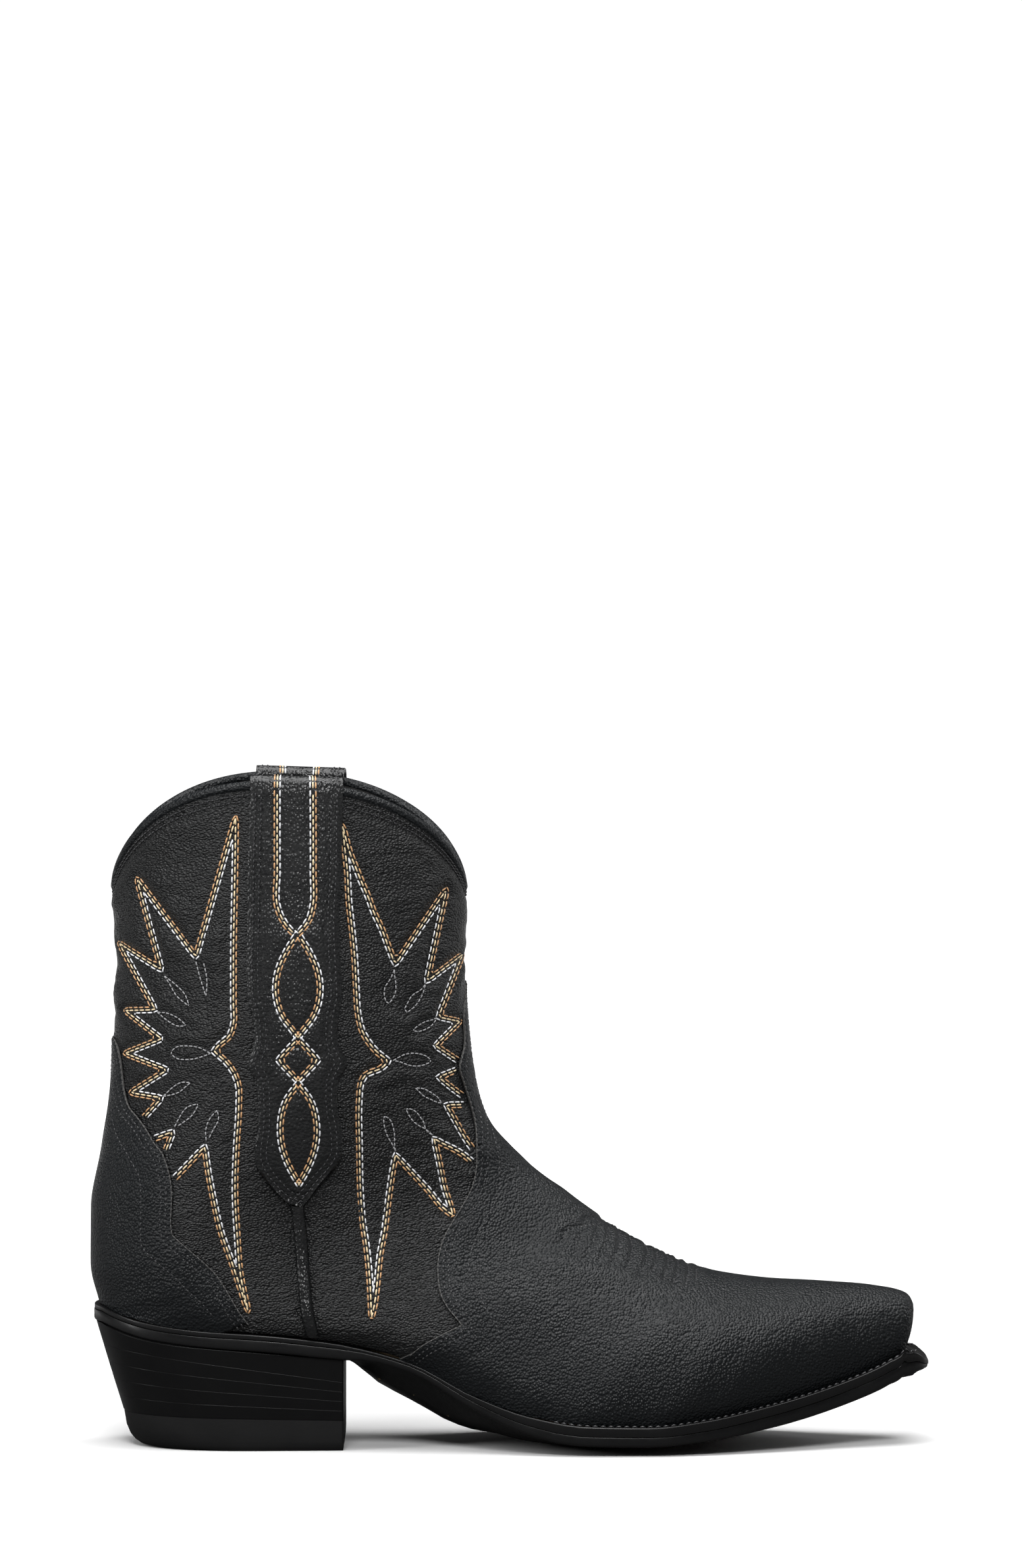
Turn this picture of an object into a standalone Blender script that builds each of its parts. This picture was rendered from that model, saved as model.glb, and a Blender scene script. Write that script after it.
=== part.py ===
"""A women's western ankle boot for the right foot, as an assembly of its separate pieces.

World frame: +X points from the heel to the toe, +Z up and -Y to the boot's outer (lateral) side.
Lengths below are in millimetres, with x measured from the back of the heel seat, and become metres
when a mesh is made.

Every piece of the upper lies on one lofted surface, the outside of the shaft leather. A row of that
surface is a section of the boot, from its back seam or its foot line (where leather meets sole)
over the widest point of each side to the front ridge. The surface is addressed by (row, arc): row
runs from 0 at the topline to TOE_ROW at the toe, and arc from -1 at the lateral foot line over 0 on
the ridge to 1 at the medial foot line. Each leather is a patch of it, shifted along its normals.
"""

import math
from typing import NamedTuple

import bmesh
import bpy
import numpy as np
from mathutils import Vector
from mathutils.geometry import delaunay_2d_cdt

MM = 0.001
LENGTH_CENTRE = 144.45
WIDTH_CENTRE = -0.4
GAP = 0.3


class Station(NamedTuple):
    """One row of the surface: its ends in side view, and its half widths across the boot."""

    back_x: float
    back_z: float
    front_x: float
    front_z: float
    half: float
    foot: float
    middle: float
    widest: float
    square: float


STATIONS = [
    Station(7.05, 228.3, 129.6, 228.3, 36.0, 0.0, 0.0, 0.50, 2.1),
    Station(8.3, 195.0, 128.9, 195.0, 35.8, 0.0, 0.0, 0.50, 2.1),
    Station(8.3, 160.0, 128.4, 160.0, 35.3, 0.0, 0.0, 0.49, 2.1),
    Station(7.7, 128.0, 131.4, 127.2, 34.6, 0.0, 0.0, 0.44, 2.05),
    Station(4.6, 104.0, 136.5, 111.2, 33.2, 0.0, 0.0, 0.37, 2.0),
    Station(0.8, 82.0, 143.5, 102.8, 31.8, 0.0, 0.0, 0.30, 1.95),
    Station(0.7, 63.0, 147.5, 98.9, 31.2, 0.0, 0.0, 0.25, 1.9),
    Station(3.6, 49.4, 151.0, 95.4, 31.0, 0.0, 0.0, 0.23, 1.9),
    Station(6.0, 48.4, 153.5, 93.2, 31.0, 11.0, 0.0, 0.22, 1.9),
    Station(12.0, 46.4, 157.0, 90.4, 31.1, 19.0, 0.0, 0.21, 1.9),
    Station(22.0, 44.2, 161.5, 87.2, 31.4, 25.4, 0.0, 0.20, 1.9),
    Station(38.0, 42.3, 168.0, 82.2, 31.8, 28.4, 0.0, 0.20, 1.9),
    Station(60.0, 40.9, 176.0, 76.6, 32.3, 29.2, -0.5, 0.20, 1.9),
    Station(85.0, 38.0, 184.0, 71.9, 33.0, 28.0, -1.5, 0.20, 1.9),
    Station(110.0, 31.6, 192.0, 67.4, 34.2, 27.0, -2.3, 0.20, 1.9),
    Station(132.0, 20.6, 199.0, 64.2, 36.6, 31.5, -2.3, 0.19, 1.95),
    Station(152.0, 13.9, 206.0, 61.2, 39.4, 36.8, -2.0, 0.17, 1.95),
    Station(172.0, 11.0, 214.0, 58.8, 41.2, 39.9, -1.5, 0.15, 2.0),
    Station(193.0, 10.7, 224.5, 56.8, 41.4, 40.3, -0.2, 0.14, 2.0),
    Station(212.0, 12.5, 236.0, 55.5, 38.0, 37.0, 0.8, 0.13, 2.0),
    Station(230.0, 15.8, 247.5, 54.8, 31.4, 30.4, 1.5, 0.13, 2.1),
    Station(246.0, 19.5, 258.0, 54.1, 24.6, 23.6, 2.1, 0.13, 2.2),
    Station(258.0, 23.0, 266.0, 53.5, 19.3, 18.4, 2.7, 0.14, 2.3),
    Station(267.0, 26.2, 272.5, 52.6, 15.8, 15.0, 3.0, 0.15, 2.4),
    Station(274.0, 29.2, 278.0, 51.6, 12.9, 12.1, 3.2, 0.16, 2.4),
    Station(278.5, 32.0, 282.0, 49.9, 10.9, 10.1, 3.4, 0.18, 2.4),
    Station(280.3, 33.9, 283.4, 46.5, 9.6, 8.8, 3.5, 0.20, 2.3),
    Station(281.0, 35.2, 283.1, 42.0, 8.6, 7.9, 3.5, 0.25, 2.2),
    Station(281.2, 36.1, 281.6, 37.0, 7.4, 6.9, 3.5, 0.35, 2.0),
]
HEEL_ROW = 7
TOE_ROW = len(STATIONS) - 1

# The scalloped topline, which dips in a V at the front and the back.
PEAK = STATIONS[0].back_z
DIP = 187.2
DIP_ROUNDING = 0.12
SCALLOP = PEAK - DIP
SCALLOP_FOOT = 150.0
BACK_FULLNESS = 2.2
BEAD_RADIUS = 1.5
BEAD_GAP = 0.5
BEAD_POINTS = 54

# Layers of the wall: how far each leather's two faces stand off the surface.
COVER_LAYER = (0.4, 1.6)
PANEL_LAYER = (-1.2, 0.0)
LINING_LAYER = (-2.8, -1.6)
STRAP_LAYER = (0.5, 1.7)
STRAP_INSIDE = (-4.6, -3.4)

# Edges of the leathers in side view, as (x, z).
VAMP_EDGE = [
    (128.5, 160.6), (127.9, 150.0), (127.6, 138.5), (126.4, 131.6), (128.7, 123.5), (131.6, 113.5),
    (132.6, 102.0), (131.4, 91.0), (127.9, 84.0), (121.9, 73.2), (119.9, 64.5), (120.9, 55.0),
    (123.6, 49.8), (128.3, 44.2), (119.9, 40.0), (110.6, 34.2),
]
COUNTER_EDGE = [
    (8.1, 139.5), (10.0, 136.0), (11.4, 129.0), (12.5, 121.6), (17.0, 114.4), (23.0, 105.7),
    (28.3, 93.8), (28.5, 81.0), (28.8, 75.0), (36.0, 68.5), (46.5, 57.0), (55.0, 44.6),
]
SEAM = [
    (71.0, 228.2), (71.5, 180.0), (72.3, 128.0), (72.4, 100.0), (72.6, 84.0), (73.3, 70.0),
    (74.0, 60.0), (74.6, 51.0), (75.6, 44.0), (76.5, 39.2),
]
UNDER_VAMP = [
    (132.4, 124.0), (137.0, 112.0), (139.5, 101.0), (138.0, 90.0), (133.0, 78.0), (129.0, 66.0),
    (130.0, 52.0), (131.5, 40.0), (129.5, 31.0), (125.0, 24.4),
]
UNDER_COUNTER = [
    (6.2, 115.0), (12.0, 108.0), (17.0, 95.0), (17.6, 80.0), (21.0, 70.5), (31.0, 60.5),
    (37.0, 53.5), (41.5, 46.5), (44.0, 42.0),
]
TOE_BOX_ROW = 20.3
JOIN = 0.8
JOIN_ROWS = 0.2

# The grid that the leathers are cut from.
SHEET_ROWS = [0.0, 0.8, 1.6, 2.4, 3.2, *range(4, 21), 21.5, 23.0, 24.5, 26.0, 27.2, TOE_ROW]
ARC_STEPS = 9
ARC_SCALE = 12.0

# The pull straps: their edges by height, from the tip to the topline.
STRAP_HEIGHTS = [
    85.5, 91.0, 100.0, 107.0, 115.0, 124.0, 131.0, 135.0, 139.0, 147.0, 157.0, 170.0, 185.0, 225.0,
]
STRAP_BACK = [71.6, 63.2, 57.7, 57.4, 58.3, 58.3, 56.1, 54.8, 56.9, 57.3, 55.0, 54.8, 55.1, 55.8]
STRAP_FRONT = [74.2, 81.0, 85.6, 87.0, 86.0, 85.2, 86.8, 88.8, 86.7, 85.4, 87.0, 86.2, 86.2, 87.2]
STRAP_FOLD_Z = 231.6
STRAP_FOLD_SLOPE = -0.03
STRAP_END_Z = 190.0
PIPING = [(72.0, 83.0), (72.6, 74.0), (73.2, 66.0), (73.9, 58.0), (74.6, 51.0), (75.4, 46.0), (76.2, 42.5)]
PIPING_HALF = 2.2

# The sole, by x: its depth under the foot line, the depth of its edge strip (rand or welt), the bow
# of its middle below its edges, and how far it stands out past the foot line.
SOLE_X = [0, 60, 78, 88, 94, 100, 110, 120, 130, 140, 150, 160, 180, 200, 240, 284, 290]
SOLE_DEPTH = [6.4, 6.4, 6.4, 5.8, 4.6, 4.0, 4.0, 4.4, 5.2, 6.0, 6.8, 7.4, 7.5, 7.5, 8.4, 8.7, 4.6]
SOLE_BOW = [0.0, 0.0, 0.0, 0.3, 6.0, 10.2, 12.2, 13.0, 10.8, 7.6, 5.9, 4.4, 2.9, 2.1, 0.8, 0.5, 0.5]
EDGE_DEPTH = [1.8, 1.8, 1.8, 1.5, 1.2, 1.1, 1.1, 1.3, 1.8, 2.5, 3.0, 3.4, 3.4, 3.4, 3.4, 3.4, 1.8]
SOLE_MARGIN_X = [3.6, 10, 25, 60, 100, 130, 160, 190, 230, 260, 278, 281.8]
SOLE_MARGIN = [3.4, 3.0, 2.2, 1.8, 1.0, 1.8, 3.6, 4.4, 5.0, 5.8, 7.0, 8.2]
BOW_POWER = 2.2
TOE_SIDE_TURN = 0.4
TOE_FALL = 0.72
SEAT_CLEARANCE = 1.05
STRIP_INSIDE = 4.0
BREAST_ROW = 13.12
INNER_INSET_X = [0, 215, 235, 260]
INNER_INSET = [4.2, 4.2, 6.0, 7.5]
INSOLE_RISE = 2.6
INSOLE_THICKNESS = 2.5
SOCK_THICKNESS = 1.2
SHANK_ROWS = [11.3, 12.0, 12.5, 13.0, 13.3, 13.6, 14.0, 14.5, 15.0, 15.5, 15.9]
SHANK_HALF = 7.0
SHANK_LAYER = (0.0, 1.4)

# The heel.
HEEL_TOP_BACK = (0.3, 48.0)
HEEL_LOW_BACK = (11.4, 12.3)
BREAST_X = 87.6
CAP_TOP_BACK = 11.9
CAP_TOP_FRONT = 10.2
CAP_BACK = 11.5
CAP_WORN_BACK = 17.0
CAP_WORN_HALF = 27.2
SEAT_BACK = 42.4
SEAT_FRONT = 27.6
LIFTS = 5
HEEL_HALF_LOW = 28.0
HEEL_HALF_TOP = 31.2
HEEL_ROUND_SHARE = 0.46
HEEL_SQUARE = 2.2
BREAST_NARROWING = 0.08
HEEL_SHARES = [0.0, 0.03, 0.1, 0.2, 0.32, 0.46, 0.75, 1.0]
HEEL_ACROSS = [-1.0, -0.6, 0.0, 0.6, 1.0]

# Fasteners.
NAIL_RADIUS = 1.1
NAIL_HEAD_RADIUS = 2.2
NAIL_HEAD_DEPTH = 0.9
CAP_NAIL_FOOT = 0.3
HEEL_NAILS = [(24.0, -9.0), (24.0, 9.0), (60.0, -15.0), (60.0, 15.0)]
CAP_NAILS = [(31.0, 0.0), (46.0, -17.0), (46.0, 17.0), (74.0, -17.0), (74.0, 17.0)]
CAP_NAIL_TOP = 14.0
PEG_RADIUS = 1.0
PEG_X = [100.0, 112.0, 124.0]
PEG_Y = 15.0
HOLE_CLEARANCE = 0.3
PAST = 9.0
ROUND_SIDES = 6


def clear_scene():
    for obj in list(bpy.data.objects):
        bpy.data.objects.remove(obj, do_unlink=True)


def collection(name):
    made = bpy.data.collections.new(name)
    bpy.context.scene.collection.children.link(made)
    return made


def material(name, colour, roughness, metallic=0.0):
    made = bpy.data.materials.new(name)
    made.use_nodes = True
    shader = made.node_tree.nodes["Principled BSDF"]
    shader.inputs["Base Color"].default_value = (*colour, 1.0)
    shader.inputs["Roughness"].default_value = roughness
    shader.inputs["Metallic"].default_value = metallic
    return made


# ---- The surface ----


def tangent(before, after):
    """The slope where two steps meet, kept between them so that the curve never overshoots."""
    product = before * after
    return np.where(product > 0, 2 * product / np.where(product > 0, before + after, 1.0), 0.0)


def station_numbers(index):
    """A station's numbers with its foot width squared, which keeps the back of the heel round."""
    place = STATIONS[min(max(index, 0), TOE_ROW)]
    return np.array(place._replace(foot=place.foot**2))


def station(row):
    """The section at any row, by a smooth curve through the stations with a corner at HEEL_ROW."""
    row = min(max(row, 0.0), float(TOE_ROW))
    low = min(int(row), TOE_ROW - 1)
    f = row - low
    before, start, end, after = (station_numbers(low + step) for step in (-1, 0, 1, 2))
    step = end - start
    leave = step if low in (0, HEEL_ROW) else tangent(start - before, step)
    arrive = step if low + 1 in (HEEL_ROW, TOE_ROW) else tangent(step, after - end)
    smooth = (
        (1 + 2 * f) * (1 - f) ** 2 * start
        + f * (1 - f) ** 2 * leave
        + f**2 * (3 - 2 * f) * end
        + f**2 * (f - 1) * arrive
    )
    place = Station(*smooth)
    return place._replace(foot=math.sqrt(max(place.foot, 0.0)))


def topline_z(share):
    """Height of the topline at a share of the way from the back to the front."""
    angle = math.acos(1 - 2 * min(max(share, 0.0), 1.0))
    dome = math.hypot(math.sin(angle), DIP_ROUNDING)
    return DIP + SCALLOP * dome + BACK_FULLNESS * max(0.0, math.sin(2 * angle))


def surface(row, arc):
    """The point of the surface at (row, arc)."""
    place = station(row)
    foot = place.foot if row > HEEL_ROW else 0.0
    if row <= HEEL_ROW and abs(arc) > 1:
        arc -= math.copysign(2, arc)
    side = -1 if arc < 0 else 1
    climb = 1 - min(abs(arc), 1.0)
    if climb < 0.5:
        rise = math.sqrt(max(1e-6, 1 - (foot / place.half) ** 2))
        angle = math.asin(rise) * (1 - 2 * climb)
        share = place.widest * (1 - math.sin(angle) / rise)
        width = place.half * math.cos(angle)
    else:
        angle = (2 * climb - 1) * math.pi / 2
        rise = math.sin(angle)
        share = place.widest + (1 - place.widest) * rise
        width = place.half * (1 - rise**place.square) ** (1 / place.square)
    x = place.back_x + (place.front_x - place.back_x) * share
    z = place.back_z + (place.front_z - place.back_z) * share
    if z > SCALLOP_FOOT:
        z -= (z - SCALLOP_FOOT) / (PEAK - SCALLOP_FOOT) * (PEAK - topline_z(share))
    return np.array([x, place.middle + side * width, z])


def normal(row, arc):
    """The outward direction of the surface at (row, arc)."""
    step = 0.01
    limit = 1.0 + step if row <= HEEL_ROW else 1.0
    ahead = row if abs(row - HEEL_ROW) < step else min(row + step, TOE_ROW)
    along = surface(ahead, arc) - surface(max(row - step, 0), arc)
    around = surface(row, min(arc + step, limit)) - surface(row, max(arc - step, -limit))
    out = np.cross(along, around)
    return out / np.linalg.norm(out)


def shifted(row, arc, offset):
    """The surface point moved out by offset, and level where it is on the foot line."""
    out = normal(row, arc)
    if row > HEEL_ROW and abs(arc) == 1:
        out[2] = 0.0
        out /= np.linalg.norm(out)
    return surface(row, arc) + offset * out


SEARCH = [(row / 2, climb / 20) for row in range(2 * TOE_ROW + 1) for climb in range(21)]
SEARCH_XZ = np.array([surface(row, 1 - climb)[[0, 2]] for row, climb in SEARCH])


def locate(x, z):
    """The (row, climb) whose side view is (x, z); climb is 0 at the foot line and 1 on the ridge."""
    target = np.array([x, z])
    row, climb = SEARCH[int(np.argmin(((SEARCH_XZ - target) ** 2).sum(axis=1)))]
    step = 0.001
    for _ in range(12):
        row = min(max(row, step), TOE_ROW - step)
        climb = min(max(climb, step), 1 - step)
        here = surface(row, 1 - climb)[[0, 2]]
        by_row = (surface(row + step, 1 - climb)[[0, 2]] - here) / step
        by_climb = (surface(row, 1 - climb - step)[[0, 2]] - here) / step / ARC_SCALE
        slope = np.column_stack([by_row, by_climb])
        move = np.linalg.lstsq(slope, target - here, rcond=0.01)[0]
        row += float(np.clip(move[0], -0.6, 0.6))
        climb += float(np.clip(move[1], -1, 1)) / ARC_SCALE
    return min(max(row, 0.0), TOE_ROW), min(max(climb, 0.0), 1.0)


def edge_line(points, start=None, end=None, beside=0.0):
    """A downward side view edge as (row, climb), moved toward the toe by beside, its ends at set climbs."""
    places = []
    for k, (x, z) in enumerate(points):
        x0, z0 = points[max(k - 1, 0)]
        x1, z1 = points[min(k + 1, len(points) - 1)]
        run = math.hypot(x1 - x0, z1 - z0)
        places.append(locate(x - beside * (z1 - z0) / run, z + beside * (x1 - x0) / run))
    if start is not None:
        places[0] = (places[0][0], start)
    if end is not None:
        places[-1] = (places[-1][0], end)
    return places


# ---- Meshes ----


def to_world(point):
    x, y, z = (float(value) for value in point)
    return (MM * (x - LENGTH_CENTRE), MM * (y - WIDTH_CENTRE), MM * z)


def finish(obj, parts, paint):
    obj.data.materials.append(paint)
    parts.objects.link(obj)
    return obj


def shell(name, outer, inner, faces, parts, paint):
    """One closed solid between two matching sets of points, which are welded where they meet."""
    index, ids = {}, []
    outer_points, inner_points = [], []
    for far, near in zip(outer, inner):
        key = tuple(np.round(far, 3))
        if key not in index:
            index[key] = len(outer_points)
            outer_points.append(far)
            inner_points.append(near)
        ids.append(index[key])
    loops = []
    for face in faces:
        corners = [ids[v] for v in face]
        loop = [v for i, v in enumerate(corners) if v != corners[i - 1]]
        if len(loop) > 2:
            loops.append(loop)
    uses = {}
    for loop in loops:
        for a, b in zip(loop, loop[1:] + loop[:1]):
            uses.setdefault(frozenset((a, b)), []).append((a, b))
    count = len(outer_points)
    rims = [ends[0] for ends in uses.values() if len(ends) == 1]
    walls = [(b, a, a + count, b + count) for a, b in rims]
    backs = [[v + count for v in reversed(loop)] for loop in loops]
    mesh = bpy.data.meshes.new(name)
    mesh.from_pydata([to_world(p) for p in outer_points + inner_points], [], loops + backs + walls)
    turned = bmesh.new()
    turned.from_mesh(mesh)
    bmesh.ops.recalc_face_normals(turned, faces=turned.faces)
    turned.to_mesh(mesh)
    turned.free()
    mesh.shade_smooth()
    mesh.set_sharp_from_angle(angle=math.radians(40))
    return finish(bpy.data.objects.new(name, mesh), parts, paint)


def grid_shell(name, outer, inner, parts, paint):
    """A shell between two grids of points."""
    outer, inner = np.array(outer), np.array(inner)
    rows, columns = outer.shape[:2]
    faces = []
    for r in range(rows - 1):
        for c in range(columns - 1):
            a, b = r * columns + c, (r + 1) * columns + c
            faces += [(a, a + 1, b + 1), (a, b + 1, b)]
    return shell(name, outer.reshape(-1, 3), inner.reshape(-1, 3), faces, parts, paint)


def round_bar(name, x, y, stretches, parts, paint):
    """An upright turned piece from (z low, z high, radius) stretches, as one profile."""
    profile = []
    for low, high, radius in stretches:
        profile += [(radius, low), (radius, high)]
    profile = [(0.0, profile[0][1]), *profile, (0.0, profile[-1][1])]
    box = bmesh.new()
    rings = []
    for radius, z in profile:
        sides = 1 if radius == 0 else ROUND_SIDES
        turn = 2 * math.pi / sides
        ring = [(x + radius * math.cos(turn * k), y + radius * math.sin(turn * k), z) for k in range(sides)]
        rings.append([box.verts.new(to_world(p)) for p in ring])
    for low, high in zip(rings, rings[1:]):
        for k in range(ROUND_SIDES):
            corners = [low[k % len(low)], low[(k + 1) % len(low)]]
            corners += [high[(k + 1) % len(high)], high[k % len(high)]]
            loop = [v for i, v in enumerate(corners) if v is not corners[i - 1]]
            box.faces.new(loop)
    bmesh.ops.recalc_face_normals(box, faces=box.faces)
    mesh = bpy.data.meshes.new(name)
    box.to_mesh(mesh)
    box.free()
    return finish(bpy.data.objects.new(name, mesh), parts, paint)


def bore(obj, x, y, low, high, radius, cutters):
    """Cuts an upright hole in a piece."""
    cutter = round_bar(f"{obj.name}_bore_{len(obj.modifiers)}", x, y, [(low, high, radius)], cutters, None)
    cutter.hide_render = True
    cutter.display_type = "WIRE"
    cut = obj.modifiers.new(cutter.name, "BOOLEAN")
    cut.object = cutter
    cut.operation = "DIFFERENCE"


# ---- The upper ----


def inside(polygon, row, climb):
    """Whether (row, climb) lies in a polygon, by the even-odd rule."""
    found = False
    for (row0, climb0), (row1, climb1) in zip(polygon, polygon[1:] + polygon[:1]):
        if (climb0 > climb) != (climb1 > climb):
            crossing = row0 + (climb - climb0) * (row1 - row0) / (climb1 - climb0)
            found ^= crossing > row
    return found


def bead_arc(k):
    return -1 + 2 * k / BEAD_POINTS


def cut_sheet(edges):
    """The whole surface as triangles of (row, arc), cut along the given edges on both sides."""
    columns = range(-ARC_STEPS, ARC_STEPS + 1)
    points = [(row, ARC_SCALE * k / ARC_STEPS) for row in SHEET_ROWS for k in columns]
    points += [(0.0, ARC_SCALE * bead_arc(k)) for k in range(BEAD_POINTS)]
    lines = []
    for edge in edges:
        for side in (-1, 1):
            first = len(points)
            points += [(row, side * (1 - climb) * ARC_SCALE) for row, climb in edge]
            lines += [(k, k + 1) for k in range(first, len(points) - 1)]
    cut = delaunay_2d_cdt([Vector(p) for p in points], lines, [], 0, 1e-4)
    places = [(p[0], min(max(p[1] / ARC_SCALE, -1.0), 1.0)) for p in cut[0]]
    return places, cut[2]


def leather(name, sheet, region, layer, parts, paint):
    """The leather over one region of the cut sheet, with its faces at the layer's two offsets."""
    places, triangles = sheet
    chosen = []
    for triangle in triangles:
        row = sum(places[v][0] for v in triangle) / 3
        climb = 1 - abs(sum(places[v][1] for v in triangle)) / 3
        if inside(region, row, climb):
            chosen.append(triangle)
    used = sorted({v for triangle in chosen for v in triangle})
    order = {v: k for k, v in enumerate(used)}
    inner, outer = ([shifted(*places[v], offset) for v in used] for offset in layer)
    faces = [[order[v] for v in triangle] for triangle in chosen]
    return shell(name, outer, inner, faces, parts, paint)


def make_upper(parts, paints):
    vamp = edge_line(VAMP_EDGE, 1.0, 0.0)
    counter = edge_line(COUNTER_EDGE, 0.0, 0.0)
    seam_back = edge_line(SEAM, None, 0.0, -JOIN / 2)
    seam_front = edge_line(SEAM, None, 0.0, JOIN / 2)
    for seam in (seam_back, seam_front):
        seam[0] = (0.0, seam[0][1])
    under_vamp = edge_line(UNDER_VAMP, 1.0, 0.0)
    past_vamp = edge_line(UNDER_VAMP, 1.0, 0.0, JOIN)
    under_counter = edge_line(UNDER_COUNTER, 0.0, 0.0)
    past_counter = edge_line(UNDER_COUNTER, 0.0, 0.0, JOIN)
    past_vamp[0] = (under_vamp[0][0] + JOIN_ROWS, 1.0)
    past_counter[0] = (under_counter[0][0] - JOIN_ROWS, 0.0)
    past_counter[-1] = (under_counter[-1][0] + JOIN_ROWS, 0.0)
    toe_box = [(TOE_BOX_ROW, k / ARC_STEPS) for k in range(ARC_STEPS + 1)]
    behind_toe_box = [(row - JOIN / 8, climb) for row, climb in toe_box]
    sheet = cut_sheet(
        [vamp, counter, seam_back, seam_front, under_vamp, past_vamp]
        + [under_counter, past_counter, toe_box, behind_toe_box]
    )
    toe = [(TOE_ROW + 1, -1.0), (TOE_ROW + 1, 2.0)]
    front = extended(seam_front) + extended(under_vamp)[::-1] + [(-1.0, 2.0), (-1.0, seam_front[0][1])]
    back_top = [(-1.0, -1.0)]
    back_seam = extended(seam_back)[::-1]
    regions = [
        ("vamp", "foot", COVER_LAYER, extended(vamp) + toe),
        ("counter_cover", "foot", COVER_LAYER, extended(counter)),
        ("heel_stiffener", "stiffener", PANEL_LAYER, extended(under_counter)),
        (
            "back_shaft_panel",
            "shaft",
            PANEL_LAYER,
            back_top + extended(past_counter) + back_seam + [(-1.0, seam_back[0][1])],
        ),
        ("front_shaft_panel", "shaft", PANEL_LAYER, front),
        ("vamp_interlining", "canvas", PANEL_LAYER, extended(past_vamp) + extended(behind_toe_box)),
        ("toe_box_stiffener", "stiffener", PANEL_LAYER, extended(toe_box) + toe[::-1]),
        ("vamp_lining", "lining", LINING_LAYER, extended(past_vamp) + toe),
        ("front_shaft_lining", "lining", LINING_LAYER, front),
        ("back_shaft_lining", "lining", LINING_LAYER, back_top + back_seam + [(-1.0, seam_back[0][1])]),
    ]
    for name, paint, layer, region in regions:
        leather(name, sheet, region, layer, parts, paints[paint])


def extended(edge):
    """An edge with its ends carried past the foot line or the ridge."""
    places = list(edge)
    for end in (0, -1):
        row, climb = places[end]
        if climb in (0.0, 1.0):
            places.insert(len(places) if end else 0, (row, 2.0 if climb else -1.0))
    return places


def make_binding(parts, paint):
    """The rolled bead around the topline, over the top edges of the shaft and its lining."""
    wall_middle = (LINING_LAYER[0] + PANEL_LAYER[1]) / 2
    curve = bpy.data.curves.new("topline_binding", "CURVE")
    curve.dimensions = "3D"
    curve.bevel_depth = BEAD_RADIUS * MM
    curve.bevel_resolution = 2
    spline = curve.splines.new("POLY")
    spline.points.add(BEAD_POINTS - 1)
    spline.use_cyclic_u = True
    for k, point in enumerate(spline.points):
        arc = bead_arc(k)
        along = surface(0.0, arc + 0.01) - surface(0.0, arc - 0.01)
        up = np.cross(normal(0.0, arc), along)
        up *= math.copysign(1.0, up[2]) / np.linalg.norm(up)
        place = shifted(0.0, arc, wall_middle) + (BEAD_RADIUS + BEAD_GAP) * up
        point.co = (*to_world(place), 1.0)
    return finish(bpy.data.objects.new("topline_binding", curve), parts, paint)


def side_view_point(x, z, side):
    """The surface point and its outward direction on one side, at a place in side view."""
    row, climb = locate(x, z)
    arc = side * (1 - climb)
    return surface(row, arc), normal(row, arc)


def make_strap(name, side, parts, paint):
    """A pull strap: up the side from its tip, over the topline in a loop, and down inside."""
    columns = 5
    highest = STRAP_HEIGHTS[-1]
    fold_middle = (STRAP_LAYER[1] + STRAP_INSIDE[0]) / 2
    face_radius = (STRAP_LAYER[1] - STRAP_INSIDE[0]) / 2
    back_radius = (STRAP_LAYER[0] - STRAP_INSIDE[1]) / 2
    face_rows, flesh_rows = [], []

    def across(height):
        back = np.interp(height, STRAP_HEIGHTS, STRAP_BACK)
        front = np.interp(height, STRAP_HEIGHTS, STRAP_FRONT)
        return np.linspace(back, front, columns + 1)

    for height in STRAP_HEIGHTS:
        face, flesh = [], []
        for x in across(height):
            point, out = side_view_point(x, height, side)
            face.append(point + out * STRAP_LAYER[1])
            flesh.append(point + out * STRAP_LAYER[0])
        face_rows.append(face)
        flesh_rows.append(flesh)

    def upright_row(height, x_list, face_offset, flesh_offset, face_lift=0.0, flesh_lift=0.0):
        face, flesh = [], []
        for x in x_list:
            point, out = side_view_point(x, min(height, highest), side)
            out = np.array([out[0], out[1], 0.0]) / math.hypot(out[0], out[1])
            point[2] = height + STRAP_FOLD_SLOPE * (x - x_list[0]) * (height > highest)
            face.append(point + out * face_offset + np.array([0, 0, face_lift]))
            flesh.append(point + out * flesh_offset + np.array([0, 0, flesh_lift]))
        face_rows.append(face)
        flesh_rows.append(flesh)

    for k in range(7):
        turn = math.pi * k / 6
        lean, lift = math.cos(turn), math.sin(turn)
        upright_row(
            STRAP_FOLD_Z,
            across(highest),
            fold_middle + face_radius * lean,
            fold_middle + back_radius * lean,
            face_radius * lift,
            back_radius * lift,
        )
    for height in (highest, 208.0, STRAP_END_Z):
        upright_row(height, across(max(height, 186.0)), STRAP_INSIDE[0], STRAP_INSIDE[1])
    return grid_shell(name, face_rows, flesh_rows, parts, paint)


def make_piping(name, side, parts, paint):
    """The narrow strip over the side seam, from the strap's tip down to the sole."""
    rows = []
    for x, z in PIPING:
        face_points = []
        for shift in (-PIPING_HALF, 0.0, PIPING_HALF):
            face_points.append(side_view_point(x + shift, z, side))
        rows.append(face_points)
    outer = [[p + n * COVER_LAYER[1] for p, n in row] for row in rows]
    inner = [[p + n * COVER_LAYER[0] for p, n in row] for row in rows]
    return grid_shell(name, outer, inner, parts, paint)


# ---- The bottom ----


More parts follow.
